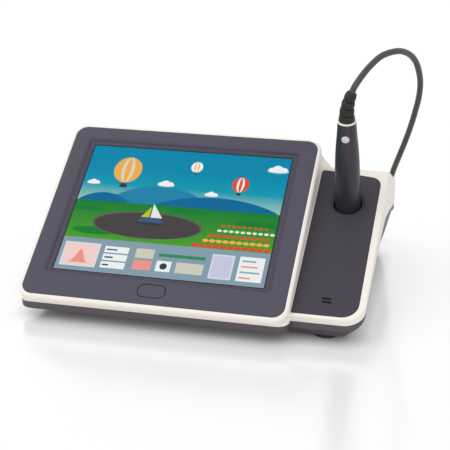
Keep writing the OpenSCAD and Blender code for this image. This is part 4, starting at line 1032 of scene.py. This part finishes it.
handle = {
    "outline": [
        (8.6, -24), (10.1, -8), (10.5, 3), (10.3, 14), (9.95, 30.56), (9.4, 47.4), (8.05, 64.94), (7.3, 76.4),
    ],
    "low": -24, "lowR": 8.0, "topR": 7.3, "top": 76.4, "ringT": 1.2, "buttonUp": 64.7, "buttonR": 3.05,
    "screwUp": (-6, 34),
}
boot = {
    "at": 77.6, "step": 6.4, "bend": 20, "coreR": 2.9,
    "ribs": 3.8, "sizes": (6.15, 4.1, 3.8, 1.2, 0.25, 0.3),
}


def makeHandle(s):
    top, r = s["top"], s["buttonR"]
    profile = [(0, s["low"]), (s["lowR"], s["low"])] + flatSpline(s["outline"], 1.6)[1:-1]
    profile += [(s["topR"], top - 0.3), (s["topR"] - 0.3, top), (0, top)]
    keyPlace = atPlace(0, 0, s["buttonUp"]) @ rotX(90)
    front = turned("handleFront", profile, 40, 180.3, 359.7)
    drill = turned("drill", [(0, 3.9), (r + 0.06, 3.9), (r + 0.06, 14), (0, 14)], 40)
    drill.data.transform(keyPlace)
    front = combine(front, drill)
    rear = turned("handleRear", profile, 40, 0.3, 179.7)
    drill = turned("drill", [(0, -20), (2.0, -20), (2.0, -6.5), (0, -6.5)], 28)
    drill.data.transform(rotX(90))
    rear = combine(rear, copies("drills", drill, [(0, 0, z) for z in s["screwUp"]]))
    for piece, node in ((front, "handle_front"), (rear, "handle_rear")):
        dress(settle(piece, probePlace, 35), "probe", "black_plastic", finish["blackPlastic"], node)
    edge = arcPoints(7.0, top + 0.45, 0.45, -90, 0, 4)[1:] + arcPoints(6.85, top + 0.6, 0.6, 0, 90, 5)[1:]
    ring = turned("handleRing", [(5, top), (7.1, top)] + edge + [(5, top + s["ringT"]), (5, top)], 64)
    dress(settle(ring, probePlace, 50), "probe", "white_case", finish["whiteCase"], "handle_ring")
    face = [
        (0, 8.55), (1.8, 8.5), (1.98, 8.38), (2.16, 8.46), (2.55, 8.4), (2.85, 8.22), (r, 7.9),
        (r, 5), (3.95, 4.95), (3.95, 4), (0, 4),
    ]
    button = settle(turned("probeKey", face, 48), probePlace @ keyPlace, 35)
    dress(button, "probe_button", "light_button", finish["lightButton"], "probe_button")


def leaning(degrees):
    return Vector((math.sin(math.radians(degrees)), 0, math.cos(math.radians(degrees))))


def bootPath(s, ribs, spacing=0.16):
    # the strain relief's middle line: it leans over more and more
    point, path = Vector((0, 0, s["at"])), []
    for k in range(round(s["step"] * ribs / spacing) + 1):
        path.append(point.copy())
        point = point + spacing * leaning(s["bend"] * min(1, max(0, k * spacing / s["step"] - 0.5) / 3))
    return path


def makeBoot(s):
    whole, ribbed = bootPath(s, 4), bootPath(s, s["ribs"])
    ribs = sleeve("cordBoot", ribbed, s["sizes"], finish["bootRubber"])
    profile = [(0, -1), (3.9, -1), (4.1, -0.5), (4.1, 0), (3.7, 0.5), (2.95, 1.2), (2.75, 1.28), (0, 1.28)]
    shoulder = turned("shoulder", profile, 40)
    shoulder.data.transform(Matrix.Translation(ribbed[-1]) @ Matrix.Rotation(math.radians(s["bend"]), 4, "Y"))
    piece = joined("cordBoot", [ribs, shoulder, tubeAlong("core", whole, s["coreR"], 20)])
    dress(settle(piece, probePlace, 60), "probe", "black_rubber", finish["bootRubber"], "cord_boot")
    return whole[-1]


bootTop = makeBoot(boot)
makeHandle(handle)
print("probe made")

cord = {
    "diameter": 5, "coilAt": (52, 195), "coilR": 37, "pitch": 5.6, "turns": 5.5, "stepsPerTurn": 24,
    "lie": 2.6, "spacing": 2.5,
    "arch": [
        (117, -20, 188), (122.8, -11, 195.3), (130, 0, 201), (139.5, 12, 202.5), (146.5, 24, 199),
        (151.5, 36, 191.5), (154.3, 46, 181), (155.3, 56, 168.5), (154, 65, 154.5), (150.8, 74, 139.5),
        (147, 82, 124.5), (142.5, 90, 109.5), (137.7, 97, 95), (133.5, 104, 82.5), (130.2, 111.5, 71),
        (128.3, 116.5, 61), (127.5, 119, 50),
    ],
    "drop": [
        (126.7, 121.5, 39), (124, 125, 27), (119, 130, 16.5), (112, 137.5, 9), (104, 147, 4.5),
        (97, 158, 2.8), (91.5, 170, 2.6), (89, 185, 2.6), (89, 190, 2.6),
    ],
    "tail": [
        (15, 190, 8.2), (15, 185, 8.2), (15, 177, 11), (15, 170, 16), (15, 162, 21.5), (15, 154, 25),
        (15, 145.5, 26), (15, 140.5, 26),
    ],
    "plugAt": (15, 107.5, 26), "plugL": 20, "reliefL": 13,
    "grip": (6.2, 6.2, 9.7, 0.4, 0.3, 0.05), "relief": (4.9, 3.5, 3.7, 0.9, 0.3, 0.1),
}


def coilPoints(s):
    (cx, cy), points = s["coilAt"], []
    for k in range(int(s["turns"] * s["stepsPerTurn"]) + 1):
        t = k / s["stepsPerTurn"]
        r = s["coilR"] - s["pitch"] * min(t, s["turns"] - t)
        up = min(1, max(0, (t - s["turns"] / 2 + 0.25) / 0.5))
        a = 2 * math.pi * t
        points.append((cx + r * math.cos(a), cy + r * math.sin(a), s["lie"] + s["pitch"] * up))
    return points


def straight(z0, z1, parts):
    return [(0, 0, z0 + (z1 - z0) * k / parts) for k in range(parts + 1)]


def makeCord(s):
    exitPoint = probePlace @ bootTop
    ahead = probePlace @ (bootTop + 5 * leaning(boot["bend"]))
    route = [exitPoint, ahead] + s["arch"] + s["drop"] + coilPoints(s) + s["tail"]
    path = splinePoints(route, s["spacing"])
    tube = settle(tubeAlong("probeCord", path, s["diameter"] / 2, 14), angle=60)
    tube.data.materials.append(finish["cordSheath"])
    profile = [
        (0, -9), (4.6, -9), (4.95, -8.6), (4.95, -0.02), (6.0, 0.02), (6.25, 0.4), (6.25, 2.6), (5.9, 2.8),
        (5.9, 17.0), (6.25, 17.2), (6.2, 18.6), (5.4, 20), (0, 20),
    ]
    grip = sleeve("grip", straight(2.6, 17.2, 120), s["grip"], finish["blackPlastic"])
    plug = joined("probePlug", [turned("body", profile, 48), grip])
    plugPlace = atPlace(*s["plugAt"]) @ rotX(-90)
    dress(settle(plug, plugPlace, 40), "case", "black_plastic", finish["blackPlastic"], "probe_plug")
    relief = sleeve("plugRelief", straight(0, s["reliefL"], 90), s["relief"], finish["bootRubber"])
    settle(relief, plugPlace @ atPlace(0, 0, s["plugL"]), 60)
    dress(relief, "case", "black_rubber", finish["bootRubber"], "plug_boot")
    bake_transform(tube)
    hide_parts("probe_cord", "cord_drop", "cord_coil", "cord_tail")


makeCord(cord)
print("cord made")

studio = {
    "world": 0.76, "key": 6.5, "fill": 3.0, "floorTone": 0.90, "floorSeen": 0.50, "floorLift": 0.395,
    "floorGloss": 0.20, "floorIndex": 2.7, "nearShadow": 0.016,
}


def makeFloor(s):
    # a white table; the camera sees it a little lifted, so that only shadow and reflection stay
    corners = [(-6, -3, 0), (6, -3, 0), (6, 9, 0), (-6, 9, 0)]
    floor = addObject("floor", meshFrom("floor", corners, [(0, 1, 2, 3)]))
    material, tree, shader = newMaterial("floorWhite")
    seen = tree.nodes.new("ShaderNodeLightPath").outputs["Is Camera Ray"]
    tone = addNode(tree, "ShaderNodeMix", data_type="RGBA")
    feed(tree, tone, {"Factor": seen, 6: (s["floorTone"],) * 3 + (1,), 7: (s["floorSeen"],) * 3 + (1,)})
    near = addNode(tree, "ShaderNodeAmbientOcclusion", {"Distance": s["nearShadow"]})
    lift = calc(tree, "MULTIPLY", near.outputs["AO"], s["floorLift"])
    feed(tree, shader, {
        "Base Color": tone.outputs[2], "Roughness": s["floorGloss"], "IOR": s["floorIndex"],
        "Emission Color": (1, 1, 1, 1), "Emission Strength": calc(tree, "MULTIPLY", seen, lift),
    })
    floor.data.materials.append(material)


def makeLights(s):
    world = bpy.data.worlds.new("studioWorld")
    bpy.context.scene.world = world
    world.use_nodes = True
    tree = world.node_tree
    rays = tree.nodes.new("ShaderNodeLightPath").outputs
    seen = calc(tree, "MAXIMUM", rays["Is Camera Ray"], rays["Is Glossy Ray"])
    strength = calc(tree, "MULTIPLY_ADD", seen, 1 - s["world"], s["world"])
    feed(tree, tree.nodes["Background"], {"Color": (1, 1, 1, 1), "Strength": strength})
    for name, place, size, power, colour in [
        ("keyLight", (-0.85, -0.5, 1.4), (1.4, 1.4), s["key"], (1.0, 0.985, 0.96)),
        ("fillLight", (0.65, -1.3, 0.6), (0.2, 1.0), s["fill"], (1.0, 0.99, 0.97)),
    ]:
        data = bpy.data.lights.new(name, "AREA")
        data.shape, data.energy, data.color = "RECTANGLE", power, colour
        data.size, data.size_y = size
        lamp = addObject(name, data)
        aim = Vector((0, 0, 0.05)) - Vector(place)
        lamp.matrix_world = Matrix.Translation(place) @ aim.to_track_quat("-Z", "Y").to_matrix().to_4x4()


makeFloor(studio)
makeLights(studio)
bpy.context.scene.view_settings.view_transform = "Standard"
print("studio made")

bpy.context.view_layer.update()
